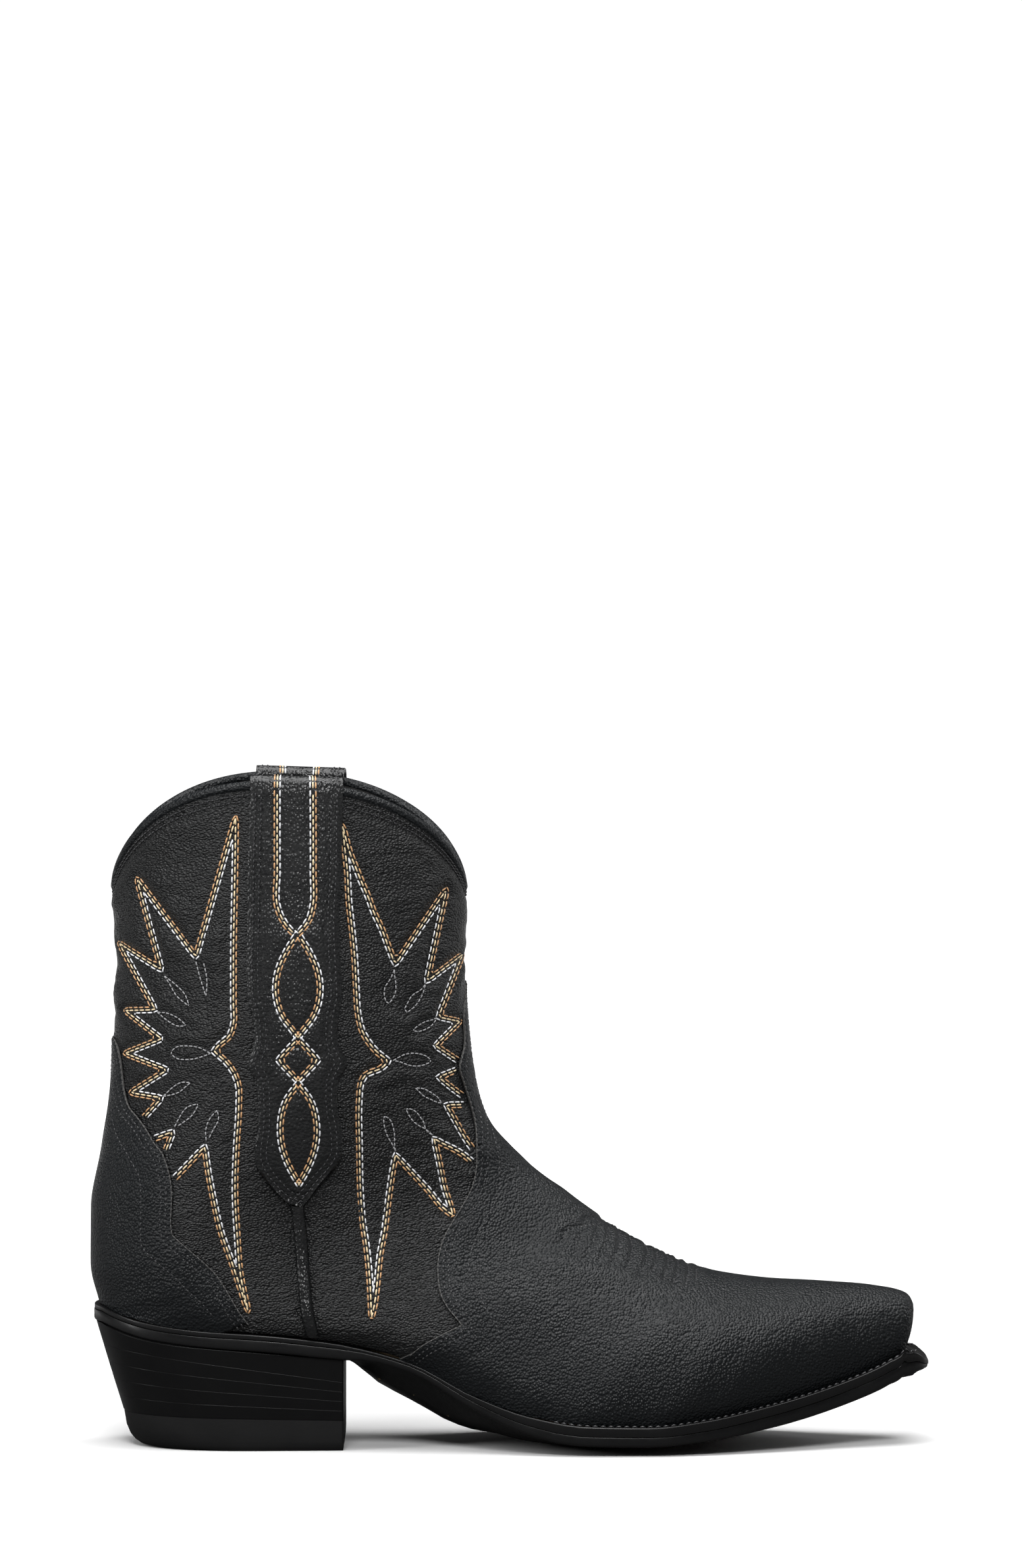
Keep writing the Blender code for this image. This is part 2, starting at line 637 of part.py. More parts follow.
def foot_line(row):
    """(x, z, half width, middle) of the foot line; beyond TOE_ROW it closes across the toe."""
    place = station(row)
    if row > TOE_ROW:
        close = row - TOE_ROW
        return place.back_x + 0.6 * close, place.back_z, place.foot * (1 - close), place.middle
    return place.back_x, place.back_z, place.foot, place.middle


FOOT = np.array([foot_line(HEEL_ROW + k / 8) for k in range(8 * (TOE_ROW - HEEL_ROW) + 1)])


def bed_z(x, y):
    """The bottom of the last: the foot line's height, bowed down towards the middle."""
    edge = np.interp(x, FOOT[:, 0], FOOT[:, 1]) - TOE_FALL * max(0.0, x - FOOT[-1, 0])
    half = np.interp(x, FOOT[:, 0], FOOT[:, 2])
    middle = np.interp(x, FOOT[:, 0], FOOT[:, 3])
    reach = min(1.0, abs(y - middle) / max(half, 1.0))
    return edge - np.interp(x, SOLE_X, SOLE_BOW) * (1 - reach**BOW_POWER)


def above_bed(rise):
    return lambda x, y: bed_z(x, y) + rise


def welt_top(x, y):
    return bed_z(x, y) - SEAT_CLEARANCE


def welt_under(x, y):
    return welt_top(x, y) - np.interp(x, SOLE_X, EDGE_DEPTH)


def outsole_top(x, y):
    return welt_under(x, y) - GAP


def outsole_bottom(x, y):
    return bed_z(x, y) - np.interp(x, SOLE_X, SOLE_DEPTH)


def sole_margin(x):
    return float(np.interp(x, SOLE_MARGIN_X, SOLE_MARGIN))


def outline_point(row, side, margin):
    """A point in plan, margin outside the foot line."""
    x, _, half, middle = foot_line(row)
    if half < 0.01:
        ahead = 1 if row > BREAST_ROW else -1
        return np.array([x + ahead * margin, middle])
    if row > TOE_ROW:
        turn = TOE_SIDE_TURN + (math.pi / 2 - TOE_SIDE_TURN) * min(1.0, 2 * (row - TOE_ROW))
        return np.array([x + margin * math.sin(turn), middle + side * (half + margin * math.cos(turn))])
    step = 0.02
    x0, _, half0, middle0 = foot_line(max(row - step, HEEL_ROW))
    x1, _, half1, middle1 = foot_line(min(row + step, TOE_ROW))
    run = np.array([x1 - x0, middle1 - middle0 + side * (half1 - half0)])
    run /= np.linalg.norm(run)
    out = side * np.array([-run[1], run[0]])
    return np.array([x, middle + side * half]) + margin * out


def edge_points(row, side, margins):
    """Plan points from the sole's edge inward: margins outside the foot line, widest first."""
    return [outline_point(row, side, margin) for margin in margins]


def plate(name, rows, margins, top, bottom, parts, paint):
    """A layer of the sole across the foot, between two height functions of (x, y)."""
    upper, lower = [], []
    for row in rows:
        reach = margins(foot_line(row)[0])
        lateral, medial = (edge_points(row, side, reach) for side in (-1, 1))
        inner = [lateral[-1] + (medial[-1] - lateral[-1]) * share for share in (0.25, 0.5, 0.75)]
        line = lateral + inner + medial[::-1]
        upper.append([(x, y, top(x, y)) for x, y in line])
        lower.append([(x, y, bottom(x, y)) for x, y in line])
    return grid_shell(name, upper, lower, parts, paint)


def band(name, rows, top, bottom, parts, paint):
    """A strip of the sole's edge along rows on the lateral side, then back along the medial."""
    upper, lower = [], []
    for row, side in [(row, -1) for row in rows] + [(row, 1) for row in reversed(rows)]:
        line = edge_points(row, side, sole_reach(foot_line(row)[0]))
        upper.append([(x, y, top(x, y)) for x, y in line])
        lower.append([(x, y, bottom(x, y)) for x, y in line])
    return grid_shell(name, upper, lower, parts, paint)


def sole_reach(x):
    """The margins that the outsole and its edge strips share, so that their faces match."""
    return (sole_margin(x), 0.0, -STRIP_INSIDE)


def inner_reach(x):
    inset = float(np.interp(x, INNER_INSET_X, INNER_INSET))
    return (-inset, -inset - 4.0)


def heel_outline(z, share):
    """(x, half width) of the heel at a height and a share of the way from its back to its breast."""
    top_x, top_z = HEEL_TOP_BACK
    low_x, low_z = HEEL_LOW_BACK
    back = low_x + (top_x - low_x) * (z - low_z) / (top_z - low_z)
    half = HEEL_HALF_LOW + (HEEL_HALF_TOP - HEEL_HALF_LOW) * (z - low_z) / (top_z - low_z)
    return d_shape(back, half, share)


def d_shape(back, half, share):
    """A D in plan: round at the back, then straight and a little narrower to the breast."""
    x = back + (BREAST_X - back) * share
    around = max(0.0, 1 - share / HEEL_ROUND_SHARE)
    width = half * (1 - around**HEEL_SQUARE) ** (1 / HEEL_SQUARE)
    return x, width * (1 - BREAST_NARROWING * max(0.0, share - HEEL_ROUND_SHARE))


def heel_level(x, level):
    """Height of a joint in the heel, from the cap's top (level 0) to the seat (level 1)."""
    share = x / BREAST_X
    cap = CAP_TOP_BACK + (CAP_TOP_FRONT - CAP_TOP_BACK) * share
    seat = SEAT_BACK + (SEAT_FRONT - SEAT_BACK) * share
    return cap + (seat - cap) * level


def d_grid(outline, height):
    """One face of a heel layer: rows of points across a D outline, from its back to the breast."""
    rows = []
    for share in HEEL_SHARES:
        x, half = outline(share)
        rows.append([(x, half * across, height(x, half * across)) for across in HEEL_ACROSS])
    return rows


def make_heel(parts, paints):
    def cap_top(x, _):
        return heel_level(x, 0.0) - GAP / 2

    cap = grid_shell(
        "heel_cap",
        d_grid(lambda share: d_shape(CAP_BACK, HEEL_HALF_LOW, share), cap_top),
        d_grid(lambda share: d_shape(CAP_WORN_BACK, CAP_WORN_HALF, share), lambda x, y: 0.0),
        parts,
        paints["rubber"],
    )
    lifts = []
    for k in range(LIFTS):

        def under(x, _, level=k / LIFTS):
            return heel_level(x, level) + GAP / 2

        def over(x, y, level=(k + 1) / LIFTS):
            return heel_level(x, level) - GAP / 2 if level < 1 else outsole_bottom(x, y) - 2 * GAP

        faces = []
        for height in (over, under):
            back_z = height(5.0, 0.0)
            faces.append(d_grid(lambda share, z=back_z: heel_outline(z, share), height))
        lifts.append(grid_shell(f"heel_lift_{k + 1}", *faces, parts, paints["lift"]))
    return cap, lifts


def make_fasteners(parts, cutters, paints, cap, lifts, outsole):
    hole = HOLE_CLEARANCE
    for k, (x, y) in enumerate(HEEL_NAILS):
        head = bed_z(x, y) + 0.1
        foot = heel_level(x, 1 / LIFTS) + 1.0
        stretches = [(foot, head, NAIL_RADIUS), (head, head + NAIL_HEAD_DEPTH, NAIL_HEAD_RADIUS)]
        round_bar(f"heel_nail_{k + 1}", x, y, stretches, parts, paints["nail"])
        for piece in [*lifts[1:], outsole]:
            bore(piece, x, y, foot - hole, head + PAST, NAIL_RADIUS + hole, cutters)
    for k, (x, y) in enumerate(CAP_NAILS):
        top = CAP_NAIL_TOP
        head = CAP_NAIL_FOOT + NAIL_HEAD_DEPTH
        stretches = [(CAP_NAIL_FOOT, head, NAIL_HEAD_RADIUS), (head, top, NAIL_RADIUS)]
        round_bar(f"cap_nail_{k + 1}", x, y, stretches, parts, paints["nail"])
        bore(cap, x, y, NAIL_HEAD_DEPTH, top + PAST, NAIL_RADIUS + hole, cutters)
        bore(cap, x, y, -PAST, head + hole, NAIL_HEAD_RADIUS + hole, cutters)
        bore(lifts[0], x, y, 0.0, top + hole, NAIL_RADIUS + hole, cutters)
    for k, x in enumerate(PEG_X):
        for side, word in ((-1, "lateral"), (1, "medial")):
            y = side * PEG_Y + foot_line_middle(x)
            low = outsole_bottom(x, y) + 0.6
            top = bed_z(x, y) + 1.6
            name = f"shank_peg_{word}_{k + 1}"
            round_bar(name, x, y, [(low, top, PEG_RADIUS)], parts, paints["wood"])
            bore(outsole, x, y, low - PAST, top + PAST, PEG_RADIUS + hole, cutters)


def foot_line_middle(x):
    return float(np.interp(x, FOOT[:, 0], FOOT[:, 3]))


def make_bottom(parts, paints):
    heel_rows = [HEEL_ROW, HEEL_ROW + 0.1, 7.4, 8, 8.5, 9, 10, 11, 12]
    waist_rows = [13, BREAST_ROW, 13.4, 13.8, 14.2, 14.5, 15, 15.5, 16, 17, 18, 19, 20, 21, 22]
    toe_rows = [23, 24, 25, 26, TOE_ROW - 0.7, TOE_ROW, *(TOE_ROW + close for close in (0.15, 0.3, 0.6, 1.0))]
    rows = heel_rows + waist_rows + toe_rows
    outsole = plate("outsole", rows, sole_reach, outsole_top, outsole_bottom, parts, paints["sole"])
    band("welt", (waist_rows + toe_rows)[1:], welt_top, welt_under, parts, paints["sole"])
    band("heel_seat_rand", [13.0, *reversed(heel_rows)], welt_top, welt_under, parts, paints["sole"])
    insole_rows = [8, 9, 10, 11, 12, 13, 13.3, 13.6, 14, 14.5, 15, 16, 17.5, 19, 20, 21, 21.8]
    insole_low, insole_high = INSOLE_RISE, INSOLE_RISE + INSOLE_THICKNESS
    faces = above_bed(insole_high), above_bed(insole_low)
    plate("insole", insole_rows, inner_reach, *faces, parts, paints["board"])
    sock_low, sock_high = insole_high + GAP, insole_high + GAP + SOCK_THICKNESS
    faces = above_bed(sock_high), above_bed(sock_low)
    plate("sock_liner", insole_rows, inner_reach, *faces, parts, paints["lining"])
    cork_rows = [16, 17, 18, 19, 20, 21, 22, 23]
    cork_top = above_bed(INSOLE_RISE - 2 * GAP)
    plate("cork_filler", cork_rows, cork_reach, cork_top, cork_under, parts, paints["cork"])
    shank_upper, shank_lower = [], []
    for row in SHANK_ROWS:
        x = foot_line(row)[0]
        line = [(x, foot_line_middle(x) + y) for y in (-SHANK_HALF, 0.0, SHANK_HALF)]
        shank_upper.append([(px, py, bed_z(px, py) + SHANK_LAYER[1]) for px, py in line])
        shank_lower.append([(px, py, bed_z(px, py) + SHANK_LAYER[0]) for px, py in line])
    grid_shell("steel_shank", shank_upper, shank_lower, parts, paints["steel"])
    return outsole


def cork_under(x, y):
    return welt_under(x, y) + 1.5 * GAP


def cork_reach(x):
    return (-STRIP_INSIDE - 2 * GAP, -STRIP_INSIDE - 6.0)


def main():
    clear_scene()
    parts = collection("western_boot")
    cutters = collection("cutters")
    paints = {
        "foot": material("vamp_leather", (0.012, 0.014, 0.018), 0.42),
        "shaft": material("shaft_leather", (0.016, 0.017, 0.020), 0.5),
        "lining": material("lining_leather", (0.05, 0.045, 0.04), 0.7),
        "canvas": material("interlining_canvas", (0.55, 0.5, 0.42), 0.9),
        "stiffener": material("stiffener_board", (0.4, 0.3, 0.2), 0.8),
        "sole": material("sole_leather", (0.01, 0.01, 0.011), 0.35),
        "lift": material("lift_leather", (0.012, 0.012, 0.013), 0.4),
        "rubber": material("cap_rubber", (0.02, 0.02, 0.022), 0.6),
        "board": material("insole_board", (0.45, 0.33, 0.2), 0.8),
        "cork": material("cork", (0.35, 0.22, 0.12), 0.95),
        "steel": material("spring_steel", (0.45, 0.45, 0.47), 0.35, 1.0),
        "nail": material("brass_nail", (0.6, 0.45, 0.2), 0.35, 1.0),
        "wood": material("peg_wood", (0.6, 0.45, 0.25), 0.7),
    }
    make_upper(parts, paints)
    make_binding(parts, paints["foot"])
    for side, word in ((-1, "lateral"), (1, "medial")):
        make_strap(f"pull_strap_{word}", side, parts, paints["shaft"])
        make_piping(f"side_seam_strip_{word}", side, parts, paints["foot"])
    outsole = make_bottom(parts, paints)
    cap, lifts = make_heel(parts, paints)
    make_fasteners(parts, cutters, paints, cap, lifts, outsole)


main()
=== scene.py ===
"""The looks of the western ankle boot: finer leathers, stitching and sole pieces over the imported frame.

Lengths are in millimetres, with x measured from the back of the heel seat, and become metres of the
frame when a mesh is made. The upper is one surface, with rows from its topline (row 0) over the heel
seat's edge (HEEL_ROW) to its toe (TOE_ROW). Around each row, the climb goes from 0 at its back or
foot line to 1 at its front ridge, and the arc is the climb less 1 on the lateral side and 1 less the
climb on the medial side. Lines on the boot's side are given as (x, height), as they are seen from
its outer side by an eye a little above it, and are sewn or cut on both sides of the upper.
"""

import math
from typing import NamedTuple

import bpy
import numpy as np
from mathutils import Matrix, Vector, kdtree, noise
from mathutils.geometry import delaunay_2d_cdt


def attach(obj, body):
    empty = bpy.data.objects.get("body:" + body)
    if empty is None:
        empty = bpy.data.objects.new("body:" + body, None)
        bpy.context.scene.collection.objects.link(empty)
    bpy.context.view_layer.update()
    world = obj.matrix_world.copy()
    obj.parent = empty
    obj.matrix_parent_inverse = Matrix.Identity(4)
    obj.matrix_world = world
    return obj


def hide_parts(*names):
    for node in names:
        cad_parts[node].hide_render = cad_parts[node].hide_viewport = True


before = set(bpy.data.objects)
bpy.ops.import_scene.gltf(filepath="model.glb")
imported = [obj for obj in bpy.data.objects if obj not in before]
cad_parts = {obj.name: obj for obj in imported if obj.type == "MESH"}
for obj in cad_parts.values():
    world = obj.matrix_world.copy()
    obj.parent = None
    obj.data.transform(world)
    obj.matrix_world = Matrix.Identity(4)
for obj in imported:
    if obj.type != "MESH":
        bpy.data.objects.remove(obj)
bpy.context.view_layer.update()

MM = 0.001
CENTRE = np.array([144.45, -0.4, 0.0])


class Station(NamedTuple):
    """One row of the surface: its ends in side view, and its half widths across the boot."""

    back_x: float
    back_z: float
    front_x: float
    front_z: float
    half: float
    foot: float
    middle: float
    widest: float
    square: float


STATIONS = [
    (7.05, 228.3, 129.6, 228.3, 36.0, 0.0, 0.0, 0.50, 2.1),
    (8.3, 195.0, 128.9, 195.0, 35.8, 0.0, 0.0, 0.50, 2.1),
    (8.3, 160.0, 128.4, 160.0, 35.3, 0.0, 0.0, 0.49, 2.1),
    (7.7, 128.0, 131.4, 127.2, 34.6, 0.0, 0.0, 0.44, 2.05),
    (4.6, 104.0, 136.5, 111.2, 33.2, 0.0, 0.0, 0.37, 2.0),
    (0.8, 82.0, 143.5, 102.8, 31.8, 0.0, 0.0, 0.30, 1.95),
    (0.7, 63.0, 147.5, 98.9, 31.2, 0.0, 0.0, 0.25, 1.9),
    (3.6, 49.4, 151.0, 95.4, 31.0, 0.0, 0.0, 0.23, 1.9),
    (6.0, 48.4, 153.5, 93.2, 31.0, 11.0, 0.0, 0.22, 1.9),
    (12.0, 46.4, 157.0, 90.4, 31.1, 19.0, 0.0, 0.21, 1.9),
    (22.0, 44.2, 161.5, 87.2, 31.4, 25.4, 0.0, 0.20, 1.9),
    (38.0, 42.3, 168.0, 82.2, 31.8, 28.4, 0.0, 0.20, 1.9),
    (60.0, 40.9, 176.0, 76.6, 32.3, 29.2, -0.5, 0.20, 1.9),
    (85.0, 38.0, 184.0, 71.9, 33.0, 28.0, -1.5, 0.20, 1.9),
    (110.0, 31.6, 192.0, 67.4, 34.2, 27.0, -2.3, 0.20, 1.9),
    (132.0, 20.6, 199.0, 64.2, 36.6, 31.5, -2.3, 0.19, 1.95),
    (152.0, 13.9, 206.0, 61.2, 39.4, 36.8, -2.0, 0.17, 1.95),
    (172.0, 11.0, 214.0, 58.8, 41.2, 39.9, -1.5, 0.15, 2.0),
    (193.0, 10.7, 224.5, 56.8, 41.4, 40.3, -0.2, 0.14, 2.0),
    (212.0, 12.5, 236.0, 55.5, 38.0, 37.0, 0.8, 0.13, 2.0),
    (230.0, 15.8, 247.5, 54.8, 31.4, 30.4, 1.5, 0.13, 2.1),
    (246.0, 19.5, 258.0, 54.1, 24.6, 23.6, 2.1, 0.13, 2.2),
    (258.0, 23.0, 266.0, 53.5, 19.3, 18.4, 2.7, 0.14, 2.3),
    (267.0, 26.2, 272.5, 52.6, 15.8, 15.0, 3.0, 0.15, 2.4),
    (274.0, 29.2, 278.0, 51.6, 12.9, 12.1, 3.2, 0.16, 2.4),
    (278.5, 32.0, 282.0, 49.9, 10.9, 10.1, 3.4, 0.18, 2.4),
    (280.3, 33.9, 283.4, 46.5, 9.6, 8.8, 3.5, 0.20, 2.3),
    (281.0, 35.2, 283.1, 42.0, 8.6, 7.9, 3.5, 0.25, 2.2),
    (281.2, 36.1, 281.6, 37.0, 7.4, 6.9, 3.5, 0.35, 2.0),
]
HEEL_ROW = 7
TOE_ROW = len(STATIONS) - 1

# The scalloped topline, which dips in a V at the front and the back.
PEAK = Station(*STATIONS[0]).back_z
DIP = 187.2
DIP_ROUNDING = 0.12
SCALLOP = PEAK - DIP
SCALLOP_FOOT = 150.0
BACK_FULLNESS = 2.2

SEAM = [
    (71.0, 228.2), (71.5, 180.0), (72.3, 128.0), (72.4, 100.0), (72.6, 84.0), (73.3, 70.0),
    (74.0, 60.0), (74.6, 51.0), (75.6, 44.0), (76.5, 39.2),
]
UNDER_VAMP = [
    (132.4, 124.0), (137.0, 112.0), (139.5, 101.0), (138.0, 90.0), (133.0, 78.0), (129.0, 66.0),
    (130.0, 52.0), (131.5, 40.0), (129.5, 31.0), (125.0, 24.4),
]
UNDER_COUNTER = [
    (6.2, 115.0), (12.0, 108.0), (17.0, 95.0), (17.6, 80.0), (21.0, 70.5), (31.0, 60.5),
    (37.0, 53.5), (41.5, 46.5), (44.0, 42.0),
]

# The sole, by x: its depth under the foot line, the bow of its middle below its edges, the depth of its
# edge strip (rand or welt), how far it stands out past the foot line, and the droop of its toe.
SOLE_X = [0, 60, 78, 88, 94, 100, 110, 120, 130, 140, 150, 160, 180, 200, 240, 284, 290]
SOLE_DEPTH = [6.4, 6.4, 6.4, 5.8, 4.6, 4.0, 4.0, 4.4, 5.2, 6.0, 6.8, 7.4, 7.5, 7.5, 8.4, 8.7, 3.4]
SOLE_BOW = [0.0, 0.0, 0.0, 0.3, 6.0, 10.2, 12.2, 13.0, 10.8, 7.6, 5.9, 4.4, 2.9, 2.1, 0.8, 0.5, 0.5]
EDGE_DEPTH = [1.8, 1.8, 1.8, 1.5, 1.2, 1.1, 1.1, 1.3, 1.8, 2.5, 3.0, 3.4, 3.4, 3.4, 3.4, 3.4, 1.8]
SOLE_MARGIN_X = [3.6, 10, 25, 60, 100, 130, 160, 190, 230, 260, 278, 281.8]
SOLE_MARGIN = [3.4, 3.0, 2.2, 1.8, 1.0, 1.8, 3.6, 4.4, 5.0, 5.8, 7.0, 8.2]
TOE_DROOP_X = [276, 280, 282.4, 284.5, 286]
TOE_DROOP = [0.0, 1.2, 2.4, 0.6, 0.0]
BOW_POWER = 2.2
TOE_FALL = 0.72

# ---- The surface that every leather lies on ----

# How the side lines are seen: heights gain LOOK_BASE, and LOOK_SLOPE for each millimetre of distance.
LOOK_SLOPE = 0.0488
LOOK_BASE = 1.42
LATERAL, MEDIAL = -1, 1

# The foot's half widths are joined as squares, so that they close round the heel. Each number has the
# harmonic mean of its two steps as its slope, or none where it turns back.
FOOT_COLUMN = Station._fields.index("foot")
NUMBERS = np.array(STATIONS)
NUMBERS[:, FOOT_COLUMN] **= 2
STEPS = np.diff(NUMBERS, axis=0)
PRODUCTS = STEPS[:-1] * STEPS[1:]
SUMS = np.where(PRODUCTS > 0, STEPS[:-1] + STEPS[1:], 1.0)
TANGENTS = np.where(PRODUCTS > 0, 2 * PRODUCTS / SUMS, 0.0)
LEAVE = np.vstack([STEPS[:1], TANGENTS])
LEAVE[HEEL_ROW] = STEPS[HEEL_ROW]
ARRIVE = np.vstack([TANGENTS, STEPS[-1:]])
ARRIVE[HEEL_ROW - 1] = STEPS[HEEL_ROW - 1]


def unit(vectors):
    """Each vector made 1 long."""
    return vectors / np.linalg.norm(vectors, axis=1, keepdims=True)


def section(row):
    """The stations' numbers at each of an array of rows, by a smooth curve with a corner at HEEL_ROW."""
    row = np.clip(row, 0.0, TOE_ROW)
    low = np.minimum(row.astype(int), TOE_ROW - 1)
    f = (row - low)[:, None]
    smooth = (
        (1 + 2 * f) * (1 - f) ** 2 * NUMBERS[low]
        + f * (1 - f) ** 2 * LEAVE[low]
        + f**2 * (3 - 2 * f) * NUMBERS[low + 1]
        + f**2 * (f - 1) * ARRIVE[low]
    )
    smooth[:, FOOT_COLUMN] = np.sqrt(np.maximum(smooth[:, FOOT_COLUMN], 0.0))
    return Station(*smooth.T)


def topline_z(share):
    """The topline's height, from its back (share 0) to its front (1)."""
    sine = 2 * np.sqrt(np.clip(share * (1 - share), 0.0, 0.25))
    cosine = 1 - 2 * share
    dome = np.hypot(sine, DIP_ROUNDING)
    return DIP + SCALLOP * dome + BACK_FULLNESS * np.maximum(0.0, 2 * sine * cosine)


def surface(row, arc):
    """Points of the surface, for arrays of rows and arcs."""
    row, arc = np.broadcast_arrays(np.asarray(row, float), np.asarray(arc, float))
    place = section(row.ravel())
    arc = arc.ravel()
    over = (row.ravel() <= HEEL_ROW) & (np.abs(arc) > 1)
    arc = np.where(over, arc - 2 * np.sign(arc), arc)
    foot = np.where(row.ravel() > HEEL_ROW, place.foot, 0.0)
    side = np.where(arc < 0, -1.0, 1.0)
    climb = 1 - np.minimum(np.abs(arc), 1.0)
    floor = np.sqrt(np.maximum(1e-6, 1 - (foot / place.half) ** 2))
    low_angle = np.arcsin(floor) * (1 - 2 * climb)
    rise = np.sin(np.clip(2 * climb - 1, 0, 1) * math.pi / 2)
    lower = climb < 0.5
    low_share = place.widest * (1 - np.sin(low_angle) / floor)
    share = np.where(lower, low_share, place.widest + (1 - place.widest) * rise)
    crown = np.maximum(0.0, 1 - rise**place.square) ** (1 / place.square)
    width = place.half * np.where(lower, np.cos(low_angle), crown)
    x = place.back_x + (place.front_x - place.back_x) * share
    z = place.back_z + (place.front_z - place.back_z) * share
    fall = (z - SCALLOP_FOOT) / (PEAK - SCALLOP_FOOT) * (PEAK - topline_z(share))
    z = z - np.where(z > SCALLOP_FOOT, fall, 0.0)
    return np.stack([x, place.middle + side * width, z], axis=1)


def normals(row, arc):
    """The outward directions of the surface."""
    row, arc = (np.ravel(v).astype(float) for v in np.broadcast_arrays(row, arc))
    step = 0.01
    limit = np.where(row <= HEEL_ROW, 1.0 + step, 1.0)
    ahead = np.where(np.abs(row - HEEL_ROW) < step, row, np.minimum(row + step, TOE_ROW))
    along = surface(ahead, arc) - surface(np.maximum(row - step, 0), arc)
    around = surface(row, np.minimum(arc + step, limit)) - surface(row, np.maximum(arc - step, -limit))
    return unit(np.cross(along, around))


def seen(row, climb, looked=1.0):
    """Where points of the lateral side are in the side view; looked is 0 for a level view."""
    points = surface(row, climb - 1)
    gain = LOOK_BASE + LOOK_SLOPE * points[:, 1]
    return np.stack([points[:, 0], points[:, 2] + looked * gain], axis=1)


SEARCH_GRID = np.meshgrid(np.arange(0, TOE_ROW + 0.1, 0.25), np.linspace(0, 1, 41))
SEARCH_ROW, SEARCH_CLIMB = (values.ravel() for values in SEARCH_GRID)
SEARCH_ROUNDS = 24
SEARCH_DAMPING = 0.02


def locate(line, looked=1.0):
    """(row, climb) of each side view point (x, height) of a line, by damped Newton steps."""
    line = np.asarray(line, float)
    known = seen(SEARCH_ROW, SEARCH_CLIMB, looked)
    nearest = [int(np.argmin(((known - target) ** 2).sum(axis=1))) for target in line]
    row, climb = SEARCH_ROW[nearest], SEARCH_CLIMB[nearest]
    step = 0.001
    scale = 12.0
    for _ in range(SEARCH_ROUNDS):
        row = np.clip(row, step, TOE_ROW - step)
        climb = np.clip(climb, step, 1 - step)
        here = seen(row, climb, looked)
        by_row = (seen(row + step, climb, looked) - here) / step
        by_climb = (seen(row, climb + step, looked) - here) / step / scale
        slope = np.stack([by_row, by_climb], axis=2)
        turned = slope.transpose(0, 2, 1)
        damped = turned @ slope + SEARCH_DAMPING * np.eye(2)
        move = np.linalg.solve(damped, turned @ (line - here)[:, :, None])[:, :, 0]
        row = row + np.clip(move[:, 0], -0.6, 0.6)
        climb = climb + np.clip(move[:, 1], -1, 1) / scale
    return np.clip(row, 0, TOE_ROW), np.clip(climb, 0, 1)


def lay(x, z, side, looked=1.0):
    """Points of one side of the boot at side view places, with their outward directions."""
    row, climb = locate(np.stack([x.ravel(), z.ravel()], axis=1), looked)
    arc = side * (1 - climb)
    return surface(row, arc), normals(row, arc)


CORNER_ANGLE = 38.0


def smooth_line(points, step=0.7):
    """A curve through the points with real corners where it turns sharply, as points about step apart."""
    points = np.asarray(points, float)
    runs = np.diff(points, axis=0)
    spans = np.linalg.norm(runs, axis=1)
    way = runs / spans[:, None]
    leave, arrive = way.copy(), way.copy()
    for k in range(1, len(points) - 1):
        if math.degrees(math.acos(np.clip(way[k - 1] @ way[k], -1, 1))) < CORNER_ANGLE:
            mean = way[k - 1] * spans[k] + way[k] * spans[k - 1]
            mean /= np.linalg.norm(mean)
            arrive[k - 1] = leave[k] = mean
    made = []
    for k, span in enumerate(spans):
        count = max(1, round(span / step))
        for f in np.arange(count) / count:
            made.append(
                (1 + 2 * f) * (1 - f) ** 2 * points[k]
                + f * (1 - f) ** 2 * span * leave[k]
                + f**2 * (3 - 2 * f) * points[k + 1]
                + f**2 * (f - 1) * span * arrive[k]
            )
    return np.array([*made, points[-1]])


def inset(line, distance):
    """A line moved to its left (or right when negative), without the loops that corners leave."""
    run = np.gradient(line, axis=0)
    run /= np.maximum(np.linalg.norm(run, axis=1, keepdims=True), 1e-9)
    moved = line + distance * np.stack([-run[:, 1], run[:, 0]], axis=1)
    gap = np.sqrt(((moved[:, None, :] - line[None, :, :]) ** 2).sum(axis=2)).min(axis=1)
    return moved[gap > 0.93 * abs(distance)]


# ---- Meshes ----


def tree_of(points):
    """A finder of the nearest of some points."""
    tree = kdtree.KDTree(len(points))
    for k, point in enumerate(points):
        tree.insert(point, k)
    tree.balance()
    return tree


def add_object(name, data):
    obj = bpy.data.objects.new(name, data)
    bpy.context.scene.collection.objects.link(obj)
    return obj


def add_mesh(name, points, faces, paints, nodes, soft_angle=50.0, choice=None):
    """A piece of the boot from points in millimetres, standing for the given nodes of the frame."""
    mesh = bpy.data.meshes.new(name)
    mesh.from_pydata(((np.asarray(points) - CENTRE) * MM).tolist(), [], faces)
    for paint in paints:
        mesh.materials.append(paint)
    if choice is not None:
        mesh.polygons.foreach_set("material_index", np.asarray(choice, np.int32))
    mesh.shade_smooth()
    mesh.set_sharp_from_angle(angle=math.radians(soft_angle))
    obj = add_object(name, mesh)
    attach(obj, "root")
    if nodes:
        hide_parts(*nodes)
    return obj


def grid_faces(rows, columns, closed=False):
    """Quads of a grid of points, with its last column joined to its first when closed."""
    faces = []
    for r in range(rows - 1):
        for c in range(columns if closed else columns - 1):
            after = (c + 1) % columns
            low, high = r * columns, (r + 1) * columns
            faces.append((low + c, low + after, high + after, high + c))
    return faces


